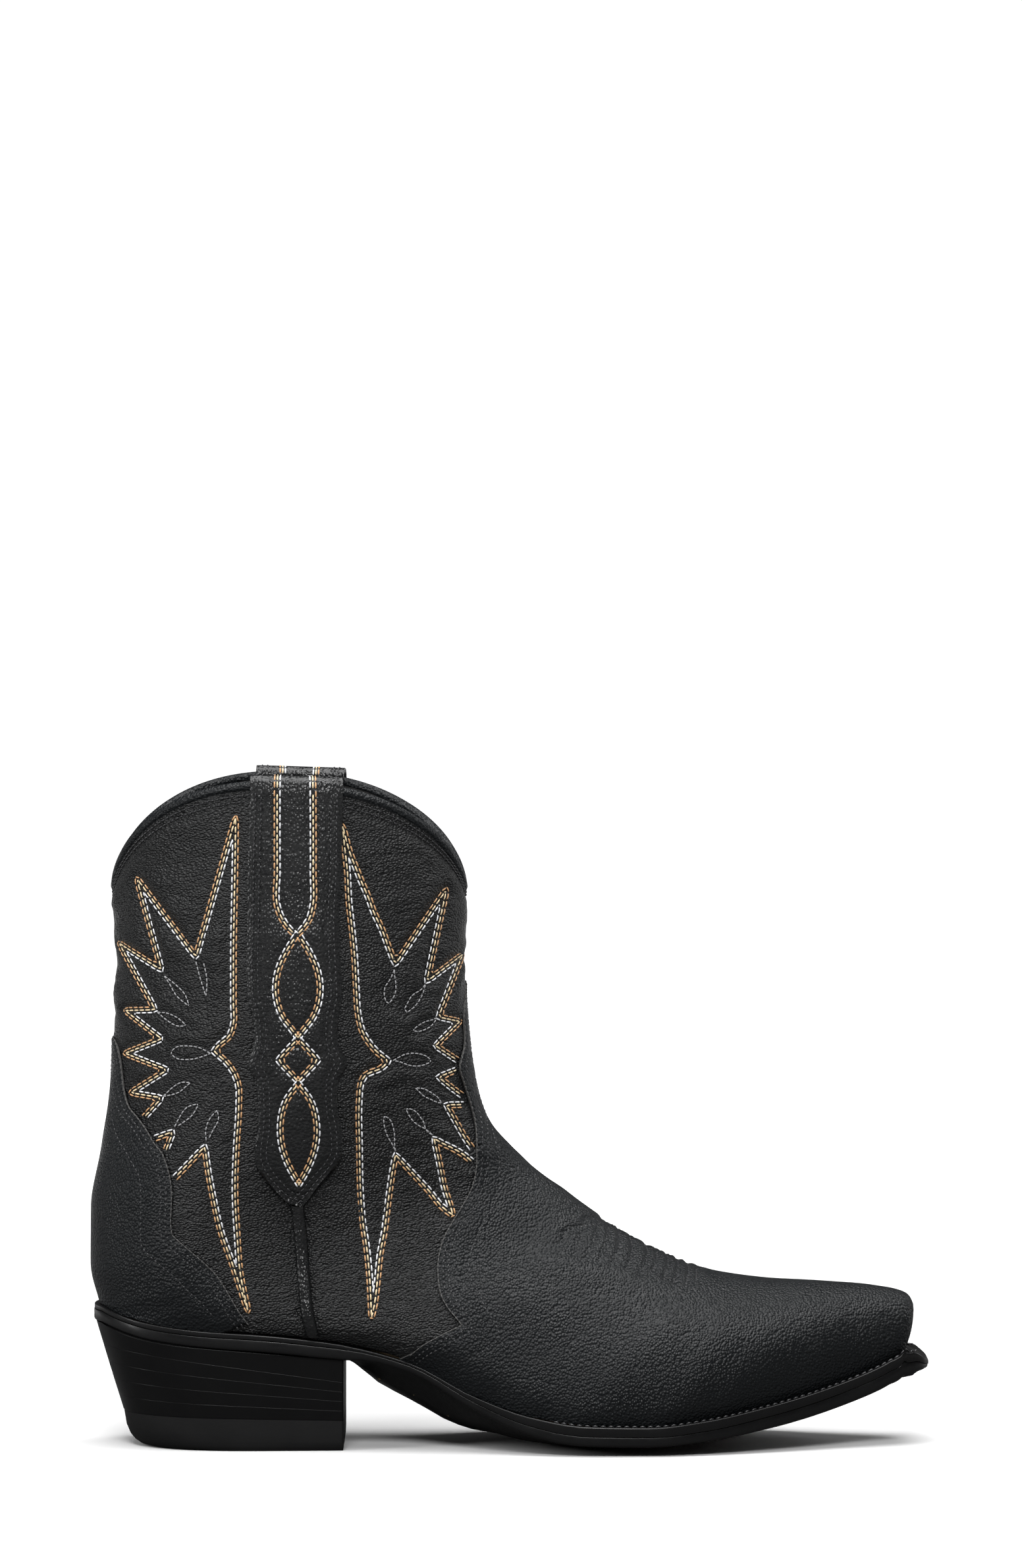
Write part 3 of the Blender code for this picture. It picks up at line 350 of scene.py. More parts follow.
def shell_faces(faces, count):
    """The faces of a shell whose inner points follow its outer points, and how many of them are its rim."""
    uses = {}
    for face in faces:
        for a, b in zip(face, face[1:] + face[:1]):
            uses.setdefault((min(a, b), max(a, b)), []).append((a, b))
    rims = [ends[0] for ends in uses.values() if len(ends) == 1]
    walls = [(b, a, a + count, b + count) for a, b in rims]
    backs = [tuple(v + count for v in reversed(face)) for face in faces]
    return list(faces) + backs + walls, rims


def grid_shell(name, outer, inner, paints, nodes, soft_angle=50.0):
    """A shell between two grids of points."""
    outer, inner = np.array(outer), np.array(inner)
    rows, columns = outer.shape[:2]
    faces, _ = shell_faces(grid_faces(rows, columns), rows * columns)
    points = np.vstack([outer.reshape(-1, 3), inner.reshape(-1, 3)])
    return add_mesh(name, points, faces, paints, nodes, soft_angle)


def loft(name, rings, paints, nodes, soft_angle=50.0, around=False):
    """A solid through closed rings of points; around joins the last ring to the first."""
    rings = np.array(rings)
    count, size = rings.shape[:2]
    faces = grid_faces(count, size, closed=True)
    if around:
        last = (count - 1) * size
        faces += [(last + c, last + (c + 1) % size, (c + 1) % size, c) for c in range(size)]
    else:
        faces += [tuple(reversed(range(size))), tuple(range((count - 1) * size, count * size))]
    return add_mesh(name, rings.reshape(-1, 3), faces, paints, nodes, soft_angle)


# ---- Finishes ----


def node(tree, kind, **inputs):
    """A new node with the given inputs, whose names have _ for a space."""
    made = tree.nodes.new(kind)
    for key, value in inputs.items():
        made.inputs[key.replace("_", " ")].default_value = value
    return made


def finish(name, colour, roughness, specular=0.5, grains=(), sheen=0.0):
    """A material whose bumps are layers of (kind, scale, strength, depth in mm, stretch)."""
    made = bpy.data.materials.new(name)
    made.use_nodes = True
    tree = made.node_tree
    shader = tree.nodes["Principled BSDF"]
    shader.inputs["Base Color"].default_value = (*colour, 1.0)
    shader.inputs["Roughness"].default_value = roughness
    shader.inputs["Specular IOR Level"].default_value = specular
    shader.inputs["Sheen Weight"].default_value = sheen
    place = tree.nodes.new("ShaderNodeTexCoord")
    last = None
    for kind, scale, strength, depth, stretch in grains:
        mapping = node(tree, "ShaderNodeMapping", Scale=stretch)
        tree.links.new(place.outputs["Object"], mapping.inputs["Vector"])
        if kind == "cells":
            texture = node(tree, "ShaderNodeTexVoronoi", Scale=scale)
            texture.feature = "F1"
            height = texture.outputs["Distance"]
        else:
            texture = node(tree, "ShaderNodeTexNoise", Scale=scale, Detail=4.0, Roughness=0.6)
            height = texture.outputs["Fac"]
        tree.links.new(mapping.outputs["Vector"], texture.inputs["Vector"])
        bump = node(tree, "ShaderNodeBump", Strength=strength, Distance=depth * MM)
        bump.invert = kind == "cells"
        tree.links.new(height, bump.inputs["Height"])
        if last is not None:
            tree.links.new(last.outputs["Normal"], bump.inputs["Normal"])
        last = bump
    if last is not None:
        tree.links.new(last.outputs["Normal"], shader.inputs["Normal"])
    if grains:
        wear = node(tree, "ShaderNodeTexNoise", Scale=90.0, Detail=5.0, Roughness=0.6)
        tree.links.new(place.outputs["Object"], wear.inputs["Vector"])
        gloss = node(tree, "ShaderNodeMapRange", From_Min=0.3, From_Max=0.7)
        gloss.inputs["To Min"].default_value = roughness - 0.07
        gloss.inputs["To Max"].default_value = roughness + 0.09
        tree.links.new(wear.outputs["Fac"], gloss.inputs["Value"])
        tree.links.new(gloss.outputs["Result"], shader.inputs["Roughness"])
    return made


EVEN = (1.0, 1.0, 1.0)
FOOT_GRAIN = (("cells", 1100.0, 0.9, 0.45, EVEN), ("noise", 420.0, 0.35, 0.2, EVEN))
SHAFT_GRAIN = (("cells", 1000.0, 1.0, 0.6, (1.0, 1.0, 1.5)), ("noise", 230.0, 0.8, 0.6, (0.6, 0.6, 2.1)))
STRAP_GRAIN = (("cells", 900.0, 0.9, 0.3, EVEN), ("noise", 230.0, 0.7, 0.45, (0.6, 0.6, 2.1)))
SOLE_GRAIN = (("noise", 500.0, 0.25, 0.12, EVEN),)
LIFT_GRAIN = (("noise", 300.0, 0.15, 0.08, (0.4, 0.4, 4.0)),)
RUBBER_GRAIN = (("noise", 700.0, 0.4, 0.12, EVEN),)
PAINTS = {
    "foot": finish("foot_leather", (0.0048, 0.0059, 0.0070), 0.41, 0.28, grains=FOOT_GRAIN),
    "shaft": finish("shaft_leather", (0.0060, 0.0063, 0.0067), 0.42, 0.38, grains=SHAFT_GRAIN),
    "strap": finish("strap_leather", (0.0055, 0.0058, 0.0062), 0.27, 0.45, grains=STRAP_GRAIN),
    # The cut-edge colour is lighter than the leather. It is a painted highlight, used on the leathers' cut
    # walls and on the pale line along the vamp and counter edges.
    "edge": finish("cut_edge_painted_highlight", (0.07, 0.068, 0.066), 0.5, 0.5),
    "lining": finish("lining_leather", (0.012, 0.0115, 0.011), 0.62, 0.25, grains=(FOOT_GRAIN[1],)),
    "sole": finish("sole_edge", (0.0045, 0.0045, 0.0048), 0.32, 0.3, grains=SOLE_GRAIN),
    "lift": finish("heel_leather", (0.0042, 0.0042, 0.0044), 0.40, 0.18, grains=LIFT_GRAIN),
    "rubber": finish("cap_rubber", (0.0085, 0.0085, 0.0088), 0.55, 0.25, grains=RUBBER_GRAIN),
    "black": finish("black_thread", (0.022, 0.022, 0.024), 0.34, 0.5),
    "tan": finish("tan_thread", (0.60, 0.33, 0.15), 0.42, 0.5, sheen=0.2),
    "gold": finish("gold_thread", (0.85, 0.68, 0.42), 0.40, 0.5, sheen=0.2),
    "silver": finish("silver_thread", (0.82, 0.83, 0.86), 0.38, 0.5, sheen=0.2),
    "grey": finish("grey_thread", (0.34, 0.34, 0.35), 0.42, 0.5, sheen=0.1),
}

# ---- Side view lines ----

VAMP_LINE = [
    (128.5, 162), (128, 150), (128.2, 139), (126.7, 131.8), (127.9, 127.4), (129, 123.8), (130.8, 118),
    (131.9, 113.6), (132.6, 107.8), (132.8, 102), (132.6, 96.2), (131.5, 91), (127.9, 83.9), (124.3, 78),
    (121.7, 73), (120.4, 68.7), (119.9, 64.3), (120, 60), (121, 54.2), (123.5, 49.7), (127.1, 45.5),
    (128.3, 43.8), (125, 42.5), (119.9, 40), (114.8, 37.4), (110.4, 34.0),
]
VAMP_INNER_ROW = [
    (137.5, 110), (139, 105), (140.2, 100), (140.5, 95), (140.6, 90), (139.5, 86), (138, 82.4), (136.5, 80),
    (133.7, 75), (131.6, 70), (130.4, 65), (131, 60), (131.8, 58), (134, 55), (136, 50), (139.3, 45),
    (140.8, 42), (140, 38), (136.5, 35.7), (132, 33.5),
]
COUNTER_LINE = [
    (8.0, 142.5), (8.9, 141.5), (10, 138.5), (11, 134), (11.5, 130), (12.5, 123), (14, 118.5), (17, 115),
    (20, 111), (23, 106), (25.5, 103), (27, 99), (28.3, 94), (28.7, 90), (28.6, 84), (28.4, 79), (28.8, 75),
    (32, 72), (36, 68.5), (40, 65), (43.5, 61.5), (46.5, 57), (49.5, 52), (52, 48), (55, 44.2),
]
COUNTER_INNER_ROW = [
    (8, 121), (8.7, 113), (10, 108.5), (13, 103.5), (15.5, 99), (17.5, 95.5), (18.3, 90), (18.4, 84),
    (18.2, 78), (18.3, 71), (21, 68), (25, 64.5), (30, 60.3), (34, 56), (38, 52.5), (43, 47),
]
BACK_BURST = [
    (29.5, 94.5), (40, 105.5), (41, 98), (43, 87), (45.5, 76), (49, 66), (52, 57), (54.8, 48.5),
    (52, 62), (51, 75), (50.3, 90), (50.8, 105), (51.7, 120), (51.5, 127), (50, 131), (47, 135),
    (43, 138.2), (45, 140.5), (48.5, 143.5), (49.8, 147), (49.9, 155), (50, 175), (50.3, 190),
    (50.6, 205), (50.8, 218.5), (37, 170.5), (16.3, 197.5), (25, 166), (9.8, 175), (22.8, 152.3),
    (12.0, 151.8), (25, 142.3), (12.0, 137), (27, 131.7), (14.0, 123.5), (25, 122), (18.7, 115),
]
BACK_BURST_END = [(22.5, 108), (29, 110.5), (26.5, 104)]
FRONT_BURST = [
    (126.6, 134.5), (119, 139.8), (127.3, 147.9), (120, 149.7), (128.2, 171), (116, 162),
    (122.8, 193.7), (105.3, 168), (103, 174), (100.8, 180), (98, 186), (96, 191.5), (94, 196),
    (92, 201), (90, 206), (87.3, 216), (88, 209), (89, 200), (89.5, 190), (90.6, 180), (91.5, 170),
    (92, 160), (92.8, 150), (94.1, 145), (95.8, 142), (99, 138), (103.2, 134.8), (100, 132), (97, 131),
    (94.5, 129.5), (93.5, 127), (93, 122), (93, 105), (93.3, 90), (94, 80), (95.5, 70), (96.5, 60),
    (97.2, 46.5), (98.3, 52), (99.2, 60), (100, 68), (101.5, 76), (102, 80), (103, 88), (104, 95),
    (105.3, 102.4), (112, 95), (117, 89.5), (121, 84.5), (125.1, 81.2), (124, 85), (122, 91), (121, 96),
    (120, 101), (118.5, 107.8), (121, 106.3), (125, 104.3), (129, 101.8), (131.7, 99.5),
]
FRONT_BURST_ENDS = [
    [(128.2, 122.3), (126, 124), (120, 129), (126.1, 131.2)],
    [(131.7, 104), (129, 108), (126.5, 112.5), (124, 117), (122.6, 119.3), (128.7, 119.2)],
]
BACK_LEAVES = [
    [(37, 169), (38.6, 163), (40.5, 157), (40.8, 163), (39.6, 169)],
    [(26, 164), (30, 161), (33, 158), (34.8, 153.5), (30, 157.5), (28, 161), (26, 164)],
    [(23.5, 151.5), (27, 151.2), (30, 150), (33.8, 147), (30.5, 146.8), (28, 148), (23.5, 151.5)],
    [(42, 137.5), (38, 139.5), (34, 140), (30, 139.5), (28, 137.5), (30, 135.8), (34, 135.3), (38, 136),
     (42, 137.5)],
    [(25.5, 122.5), (30, 126.5), (32, 127.5), (35, 127.3), (34, 126.5), (31, 124), (28, 123),
     (25.5, 122.5)],
    [(29.5, 112), (31, 115), (34, 119), (38, 120.2), (35.5, 116), (33, 114), (30, 112)],
    [(40.5, 107.5), (40.3, 111), (42, 115.5), (44.3, 118), (44.8, 115), (43, 111.5), (41, 107.5)],
]
FRONT_LEAVES = [
    [(105, 166.3), (103.3, 162.5), (102, 160.8), (101.5, 159), (101.6, 157), (102, 155.5), (103, 154.4),
     (104.4, 156.3), (105.3, 158.2), (105.5, 161), (105, 164.5), (105, 166.3)],
    [(115.5, 161), (113.8, 159), (112.5, 158.3), (111, 157.3), (110, 155.8), (109.2, 154.2),
     (108.4, 152.8), (109.3, 151.3), (110.2, 152.2), (111.5, 153), (112.5, 154.2), (114, 156.5),
     (114.8, 158.3), (115.5, 161)],
    [(119.5, 149.5), (118, 148.8), (115.5, 148.2), (113, 146.8), (111, 145.2), (113, 144.8),
     (115.5, 145.5), (117.3, 146.5), (118.5, 147.8), (119.5, 149.5)],
    [(104.5, 134.9), (106, 135.8), (108, 136.8), (110, 137.3), (114, 137), (116, 136.2), (117.7, 134.5),
     (116, 133.6), (114, 133), (112, 132.9), (110, 133.2), (108, 134), (106, 134.7), (104.5, 134.9)],
    [(121, 120), (119.8, 122), (118, 123.3), (116, 124.6), (114, 125.3), (112.2, 125.3), (113.5, 124),
     (115, 122.5), (117.5, 121.3), (119.5, 120.3), (121, 120)],
    [(118, 109), (116.5, 110), (115.5, 111.3), (115, 113.5), (114, 115), (112.5, 117), (111, 118),
     (108.8, 118.4), (110, 115.8), (111.5, 113.8), (113, 112.5), (115, 111.5), (118, 109)],
    [(105.3, 103.5), (105, 105.5), (105, 108.5), (104.5, 112), (103.3, 114.8), (101.3, 116),
     (101.3, 113.5), (101.8, 111), (103, 108), (104.5, 105.5), (105.3, 103.5)],
]
WRINKLE_FEET = [
    (161.5, 70), (166.5, 67.5), (170.7, 66), (175.5, 64.6), (179.7, 63), (184.5, 62), (189, 59), (193, 60),
    (197.3, 58), (200.8, 57), (205, 55.5), (208.5, 56.5),
]
WRINKLE_TOPS = [
    (163.5, 75), (170, 78.5), (174.5, 77), (178, 75.5), (181.5, 74), (185.5, 72), (190.5, 69.5), (195, 67),
    (198.5, 65.5), (201.7, 64.5), (205.2, 63), (208.7, 61),
]
STRAP_BACK_EDGE = [
    (73, 84.8), (71.5, 85.3), (68, 86.5), (64, 90), (60, 95), (57.5, 100), (57.1, 103), (57.5, 107),
    (58.2, 112), (58.4, 118), (58.3, 124), (57.8, 128.5), (56, 131.5), (54.8, 135), (55.8, 136.5),
    (57, 140), (57.3, 146.5), (56.5, 152), (55, 157), (54.7, 163), (55, 185), (55.2, 200), (55.6, 215),
    (56, 228),
]
STRAP_FRONT_EDGE = [
    (73, 84.8), (75.5, 87.5), (79, 92), (83, 96.5), (85.5, 100), (86.8, 103), (87, 107), (86.5, 113),
    (85.5, 118), (85.2, 124), (85.8, 129), (87.5, 132), (88.8, 135), (87.3, 137.5), (85.5, 142),
    (85.3, 147), (86, 152), (87, 157), (86.8, 163), (86, 183), (86.8, 200), (87, 215), (87.3, 228),
]
STRAP_MIDDLE = 72.0
STRAP_U_BACK = [(65.2, 228), (65.2, 200), (65.3, 188), (66.8, 184), (69.2, 180.5), (71.5, 178.3)]
STRAP_U_FRONT = [(77.2, 228), (77.2, 200), (77, 188), (75.9, 184), (73.6, 180.5), (71.5, 178.3)]
STRAP_SHAPES = [
    [(71.5, 178.3), (68, 172.5), (65.3, 166), (64.5, 160), (65, 155.5), (67, 150), (70, 146), (72, 143.2)],
    [(72, 143.0), (65.3, 135.5), (72.3, 128)],
    [(72.3, 128), (67.5, 121), (65.8, 113), (66, 108), (67.5, 102), (70, 96.5), (72.3, 92.5)],
]

# The strap's rows: how far the black ones are from its edges, and where the coloured ones cross its fold,
# as (middle row's place across, way to the silver row).
STRAP_ROW_DEPTHS = (2.0, 3.9)
FOLD_ROWS = ((-6.45, 1), (5.55, -1))

# ---- Stitching ----


class Stitch(NamedTuple):
    """A kind of stitch: the pitch of its row, its length and the thickness of its thread."""

    pitch: float
    length: float
    thickness: float


COLOURED = Stitch(2.75, 2.2, 0.52)
LEAF = Stitch(1.75, 1.4, 0.45)
# The pale line along the cut edges is laid like a row of stitches. It is a painted highlight.
EDGE_HIGHLIGHT_ROW = Stitch(1.9, 2.0, 0.45)
SEAM_ROW = Stitch(1.9, 1.4, 0.6)
FINE_ROW = Stitch(1.9, 1.5, 0.5)
TOPLINE_ROW = Stitch(1.8, 1.4, 0.5)
WELT_ROW = Stitch(2.7, 2.0, 0.8)

# Along a stitch: (share of its length, lift and girth as shares of its thickness).
STITCH_PROFILE = [
    (0.0, -0.55, 0.35), (0.14, 0.15, 0.9), (0.5, 0.45, 1.0), (0.86, 0.15, 0.9), (1.0, -0.55, 0.35),
]
STITCH_SIDES = 6
STITCH_FLATNESS = 0.8

# How far the outer faces of the leathers stand over the surface.
PANEL_FACE = 0.0
COVER_FACE = 1.25
STRAP_FACE = 2.3

ROW_SPACING = 0.95
TOP_ROW_LENGTH = 30.0
SEWN = {}


def stitch(paint, path, ups, kind, start=0.0):
    """Adds a row of stitches along a path: each a slim rounded bar whose ends dip into the leather."""
    along = np.concatenate([[0.0], np.cumsum(np.linalg.norm(np.diff(path, axis=0), axis=1))])
    firsts = np.arange(start * kind.pitch, along[-1] - 0.5 * kind.length, kind.pitch)

    def at(reach, values):
        return np.stack([np.interp(reach, along, values[:, k]) for k in range(3)], axis=1)

    ends = at(firsts, path), at(firsts + kind.length, path), at(firsts + kind.length / 2, ups)
    stitches, beds = SEWN.setdefault(paint, ([], []))
    stitches += [(a, b, n, kind.thickness) for a, b, n in zip(*ends)]
    beds.append(path)


def sew(paint, places, kind, offset, start=0.0):
    """Sews a row, given as (row, climb) arrays, on both sides of the upper."""
    row, climb = places
    for side in (LATERAL, MEDIAL):
        arc = side * (1 - climb)
        ups = normals(row, arc)
        stitch(paint, surface(row, arc) + offset * ups, ups, kind, start)


def triple_row(line, face, tan_side=-1):
    """Three staggered rows of coloured stitches, the tan one on the given side and the silver opposite."""
    for paint, shift, stagger in (("tan", tan_side, 0.0), ("gold", 0, 0.5), ("silver", -tan_side, 0.0)):
        moved = inset(line, shift * ROW_SPACING) if shift else line
        sew(paint, locate(moved), COLOURED, face, stagger)


def make_threads(name, paint):
    """One piece holding every stitch of a colour."""
    stitches, _ = SEWN[paint]
    starts, stops, ups, thick = (np.array(v) for v in zip(*stitches))
    side = unit(np.cross(unit(stops - starts), ups))
    rings = []
    for share, lift, girth in STITCH_PROFILE:
        centre = starts + (stops - starts) * share + ups * (lift * thick / 2)[:, None]
        reach = (thick / 2 * girth)[:, None]
        ring = []
        for k in range(STITCH_SIDES):
            turn = 2 * math.pi * k / STITCH_SIDES
            ring.append(centre + reach * (side * math.cos(turn) + ups * math.sin(turn) * STITCH_FLATNESS))
        rings.append(np.stack(ring, axis=1))
    points = np.stack(rings, axis=1)
    size = len(STITCH_PROFILE) * STITCH_SIDES
    one = grid_faces(len(STITCH_PROFILE), STITCH_SIDES, closed=True)
    one += [tuple(reversed(range(STITCH_SIDES))), tuple(range(size - STITCH_SIDES, size))]
    faces = [tuple(v + size * k for v in face) for k in range(len(starts)) for face in one]
    return add_mesh(name, points.reshape(-1, 3), faces, [PAINTS[paint]], ())


def sew_shaft():
    for burst in (BACK_BURST, BACK_BURST_END, FRONT_BURST, *FRONT_BURST_ENDS):
        triple_row(smooth_line(burst), PANEL_FACE)
    for leaf in BACK_LEAVES + FRONT_LEAVES:
        sew("grey", locate(smooth_line(leaf, 0.5)), LEAF, PANEL_FACE + 0.1)


def sew_edges():
    """The pale line along the cut edges of vamp and counter, a painted highlight, the black rows beside
    them, and those under the topline.
    """
    vamp, counter = smooth_line(VAMP_LINE), smooth_line(COUNTER_LINE)
    for line in (vamp, counter):
        # A pale strip just inside each cut edge: a painted highlight.
        sew("edge", locate(line), EDGE_HIGHLIGHT_ROW, COVER_FACE - 0.25)
    for distance in (1.8, 3.6):
        for line, inward in ((vamp, 1), (counter, -1)):
            sew("black", locate(inset(line, inward * distance)), SEAM_ROW, COVER_FACE - 0.1)
    for line in (VAMP_INNER_ROW, COUNTER_INNER_ROW):
        sew("black", locate(smooth_line(line)), FINE_ROW, COVER_FACE)
    climb = np.linspace(0.004, 0.996, 160)
    for depth in (1.9, 3.8):
        sew("black", (np.full_like(climb, depth / TOP_ROW_LENGTH), climb), TOPLINE_ROW, PANEL_FACE)


def sew_wrinkles():
    """The short rows that gather the vamp, each from its foot over the instep."""
    along = np.linspace(0, 2, 40)
    for foot, top in zip(WRINKLE_FEET, WRINKLE_TOPS):
        row, climb = locate([foot, top])
        line = (
            np.interp(along, [0, 1, 2], [row[0], row[1], row[1] + 0.35]),
            np.interp(along, [0, 1, 2], [climb[0], climb[1], 1.0]),
        )
        sew("black", line, FINE_ROW, COVER_FACE - 0.3)


def sew_straps():
    """The rows sewn through both pull straps; the front half of each shape mirrors its back half."""
    back, front = smooth_line(STRAP_BACK_EDGE), smooth_line(STRAP_FRONT_EDGE)
    for distance in STRAP_ROW_DEPTHS:
        sew("black", locate(inset(back, -distance)), FINE_ROW, STRAP_FACE)
        sew("black", locate(inset(front, distance)), FINE_ROW, STRAP_FACE)
    triple_row(smooth_line(STRAP_U_BACK), STRAP_FACE + 0.35, -1)
    triple_row(smooth_line(STRAP_U_FRONT), STRAP_FACE + 0.35, 1)
    for line in STRAP_SHAPES:
        mirrored = [(2 * STRAP_MIDDLE - x, z) for x, z in line]
        triple_row(smooth_line(line), STRAP_FACE + 0.35, 1)
        triple_row(smooth_line(mirrored), STRAP_FACE + 0.35, -1)


# ---- Leathers ----

DENSE_ROWS = np.linspace(0, TOE_ROW, 1121)
MEAN_PATH = np.mean([surface(DENSE_ROWS, arc) for arc in (-0.9, -0.6, -0.3, -0.1)], axis=0)
RUN = np.concatenate([[0.0], np.cumsum(np.linalg.norm(np.diff(MEAN_PATH, axis=0), axis=1))])
ARC_LENGTH = 105.0
MESH_STEP = 1.35
EDGE_ROUNDING = 0.4
GAP_LIMIT = 9.0


def to_plane(row, climb):
    """(row, climb) laid out flat, in about millimetres."""
    return np.stack([np.interp(row, DENSE_ROWS, RUN), np.asarray(climb) * ARC_LENGTH], axis=1)


def from_plane(places):
    return np.interp(places[:, 0], RUN, DENSE_ROWS), np.clip(places[:, 1] / ARC_LENGTH, 0, 1)


def enclosed(polygon, places):
    """Which places are inside the polygon."""
    found = np.zeros(len(places), bool)
    for (x0, y0), (x1, y1) in zip(polygon, np.roll(polygon, -1, axis=0)):
        if y0 != y1:
            crosses = (places[:, 1] < y0) != (places[:, 1] < y1)
            at = x0 + (places[:, 1] - y0) * (x1 - x0) / (y1 - y0)
            found ^= crosses & (places[:, 0] < at)
    return found


def thinned(polygon, step):
    """A closed outline with points about step apart, its own corners kept."""
    made = []
    for a, b in zip(polygon, np.roll(polygon, -1, axis=0)):
        count = max(1, int(np.linalg.norm(b - a) / step))
        made += [a + (b - a) * k / count for k in range(count)]
    return np.array(made)


def half_patch(outline, step):
    """Points and triangles of the lateral half of a leather, from its outline as (row, climb)."""
    border = thinned(to_plane(*outline), step)
    low, high = border.min(axis=0), border.max(axis=0)
    columns = np.arange(low[0] + step / 2, high[0], step)
    rows = np.arange(low[1] + step / 2, high[1], step)
    inner = np.stack(np.meshgrid(columns, rows), axis=2).reshape(-1, 2)
    inner[:, 0] += (np.round(inner[:, 1] / step) % 2) * step / 2
    inner = inner[enclosed(border, inner)]
    near = tree_of([(*place, 0.0) for place in border])
    inner = np.array([p for p in inner if near.find((*p, 0.0))[2] > 0.6 * step])
    places = np.vstack([border, inner])
    ring = list(range(len(border)))
    cut = delaunay_2d_cdt([Vector(p) for p in places], [], [ring], 1, 1e-5)
    return np.array(cut[0]), [tuple(face) for face in cut[2]]


def leather(name, outline, layer, paint, replaced, relief):
    """A leather on both sides of the boot from its lateral outline, with rounded cut edges whose walls take
    a painted highlight, and its relief.
    """
    flesh, face = layer
    places, faces = half_patch(outline, MESH_STEP)
    row, climb = from_plane(places)
    closing = (climb > 0.9999) | ((climb < 0.0001) & (row <= HEEL_ROW))
    twin = np.arange(len(places))
    twin[~closing] = len(places) + np.arange((~closing).sum())
    arcs = np.concatenate([climb - 1, (1 - climb)[~closing]])
    rows = np.concatenate([row, row[~closing]])
    faces = faces + [tuple(int(twin[v]) for v in reversed(corners)) for corners in faces]
    outward = normals(rows, arcs)
    base = surface(rows, arcs)
    level = (rows > HEEL_ROW) & (np.abs(arcs) > 0.9999)
    outward[level, 2] = 0.0
    outward = unit(outward)
    both, rims = shell_faces(faces, len(rows))
    high = face + relief(base)
    border = sorted({v for rim in rims for v in rim})
    high[border] -= EDGE_ROUNDING
    points = np.vstack([base + outward * high[:, None], base + outward * flesh])
    # The walls at the rims take the lighter cut-edge paint, a painted highlight.
    choice = np.zeros(len(both), int)
    choice[-len(rims):] = 1
    return add_mesh(name, points, both, [PAINTS[paint], PAINTS["edge"]], [replaced], choice=choice)


def groove_finder(paints):
    """A function giving each point's distance to the nearest sewn row of the given colours."""
    tree = tree_of(np.vstack([path for paint in paints for path in SEWN[paint][1]]))

    def distance(places):
        return np.array([min(tree.find(p)[2], GAP_LIMIT) for p in places])

    return distance


def soft_noise(points, stretch, seed):
    scaled = points * np.array(stretch) + seed
    return np.array([noise.noise(p) for p in scaled.tolist()])


def ridge(value, width):
    """A smooth bump, 1 where the value is 0."""
    return np.exp(-((value / width) ** 2))


def ramp(value, start, span):
    """0 up to the start, and 1 a span further on (or back, when the span is negative)."""
    return np.clip((value - start) / span, 0, 1)


def shaft_relief(base):
    """Puffed leather between the sewn rows, and the soft creases of the shaft."""
    gap = sewn_gap(base)
    puff = 0.25 - 0.55 * ridge(gap, 1.5) + 0.25 * ridge(gap - 3.5, 2.5)
    folds = 0.75 * soft_noise(base, (0.035, 0.03, 0.085), 3.1)
    folds = folds + 0.35 * soft_noise(base, (0.06, 0.05, 0.22), 7.7)
    fine = 0.16 * soft_noise(base, (0.15, 0.12, 0.6), 1.3)
    height = base[:, 2]
    calm = np.clip((height - 45) / 40, 0.25, 1) * ramp(height, 226, -18)
    waist = 1 + 0.8 * ridge(height - 105, 38)
    free = 1 - 0.9 * ridge(gap, 1.8)
    soft = 1 + 0.8 * ridge(base[:, 0] - 30, 25) * ridge(height - 175, 45)
    return puff * ramp(height, 229, -8) + (folds * soft + fine * waist) * calm * free


def vamp_relief(base):
    """The sewn wrinkles over the instep, and the even fullness of the rest."""
    gap = sewn_gap(base)
    x, height = base[:, 0], base[:, 2]
    wrinkled = ramp(x, 150, 12) * ramp(x, 214, -8) * ramp(height, 57 - 0.18 * (x - 165), 5)
    lasted = 0.14 * soft_noise(base, (0.05, 0.05, 0.07), 5.0)
    return 0.2 - 0.9 * ridge(gap, 1.0) + lasted + wrinkled * (0.5 - 0.95 * ridge(gap, 1.3))


def counter_relief(base):
    return 0.2 - 0.9 * ridge(sewn_gap(base), 1.0) + 0.12 * soft_noise(base, (0.05, 0.05, 0.07), 9.0)


def joined(*runs):
    """One outline from (row, climb) runs."""
    return tuple(np.concatenate([np.asarray(run[k], float) for run in runs]) for k in (0, 1))


def edge(line, first=None, last=None, looked=1.0):
    """A side view line as (row, climb), with the climbs of its ends where they are known."""
    row, climb = locate(line, looked)
    if first is not None:
        climb[0] = first
    if last is not None:
        climb[-1] = last
    return row, climb


def make_upper():
    vamp = edge(smooth_line(VAMP_LINE, 1.3), 1.0, 0.0)
    counter = edge(smooth_line(COUNTER_LINE, 1.3), 0.0, 0.0)
    under_vamp = edge(UNDER_VAMP, 1.0, 0.0, 0.0)
    under_counter = edge(UNDER_COUNTER, 0.0, 0.0, 0.0)
    seam = edge(SEAM, None, 0.0, 0.0)
    seam[0][0] = 0.0
    ahead = [v.copy() for v in seam]
    ahead[0][1:] += 0.02
    ahead[1][0] += 0.003
    toe = ([TOE_ROW, TOE_ROW], [0.0, 1.0])
    back = joined(([0.0], [0.0]), under_counter, [v[::-1] for v in seam])
    front = joined(ahead, [v[::-1] for v in under_vamp], ([0.0], [1.0]))
    cover, panel = (0.45, COVER_FACE), (-1.15, PANEL_FACE)
    leather("vamp_leather", joined(vamp, toe), cover, "foot", "vamp", vamp_relief)
    leather("counter_leather", counter, cover, "foot", "counter_cover", counter_relief)
    for word, outline in (("back", back), ("front", front)):
        name, replaced = f"{word}_shaft_leather", f"{word}_shaft_panel"
        leather(name, outline, panel, "shaft", replaced, shaft_relief)


BEAD_RINGS = 220
BEAD_SIDES = 12
BEAD_RADIUS = 1.75
BEAD_RISE = 0.9
BEAD_INSET = 1.4


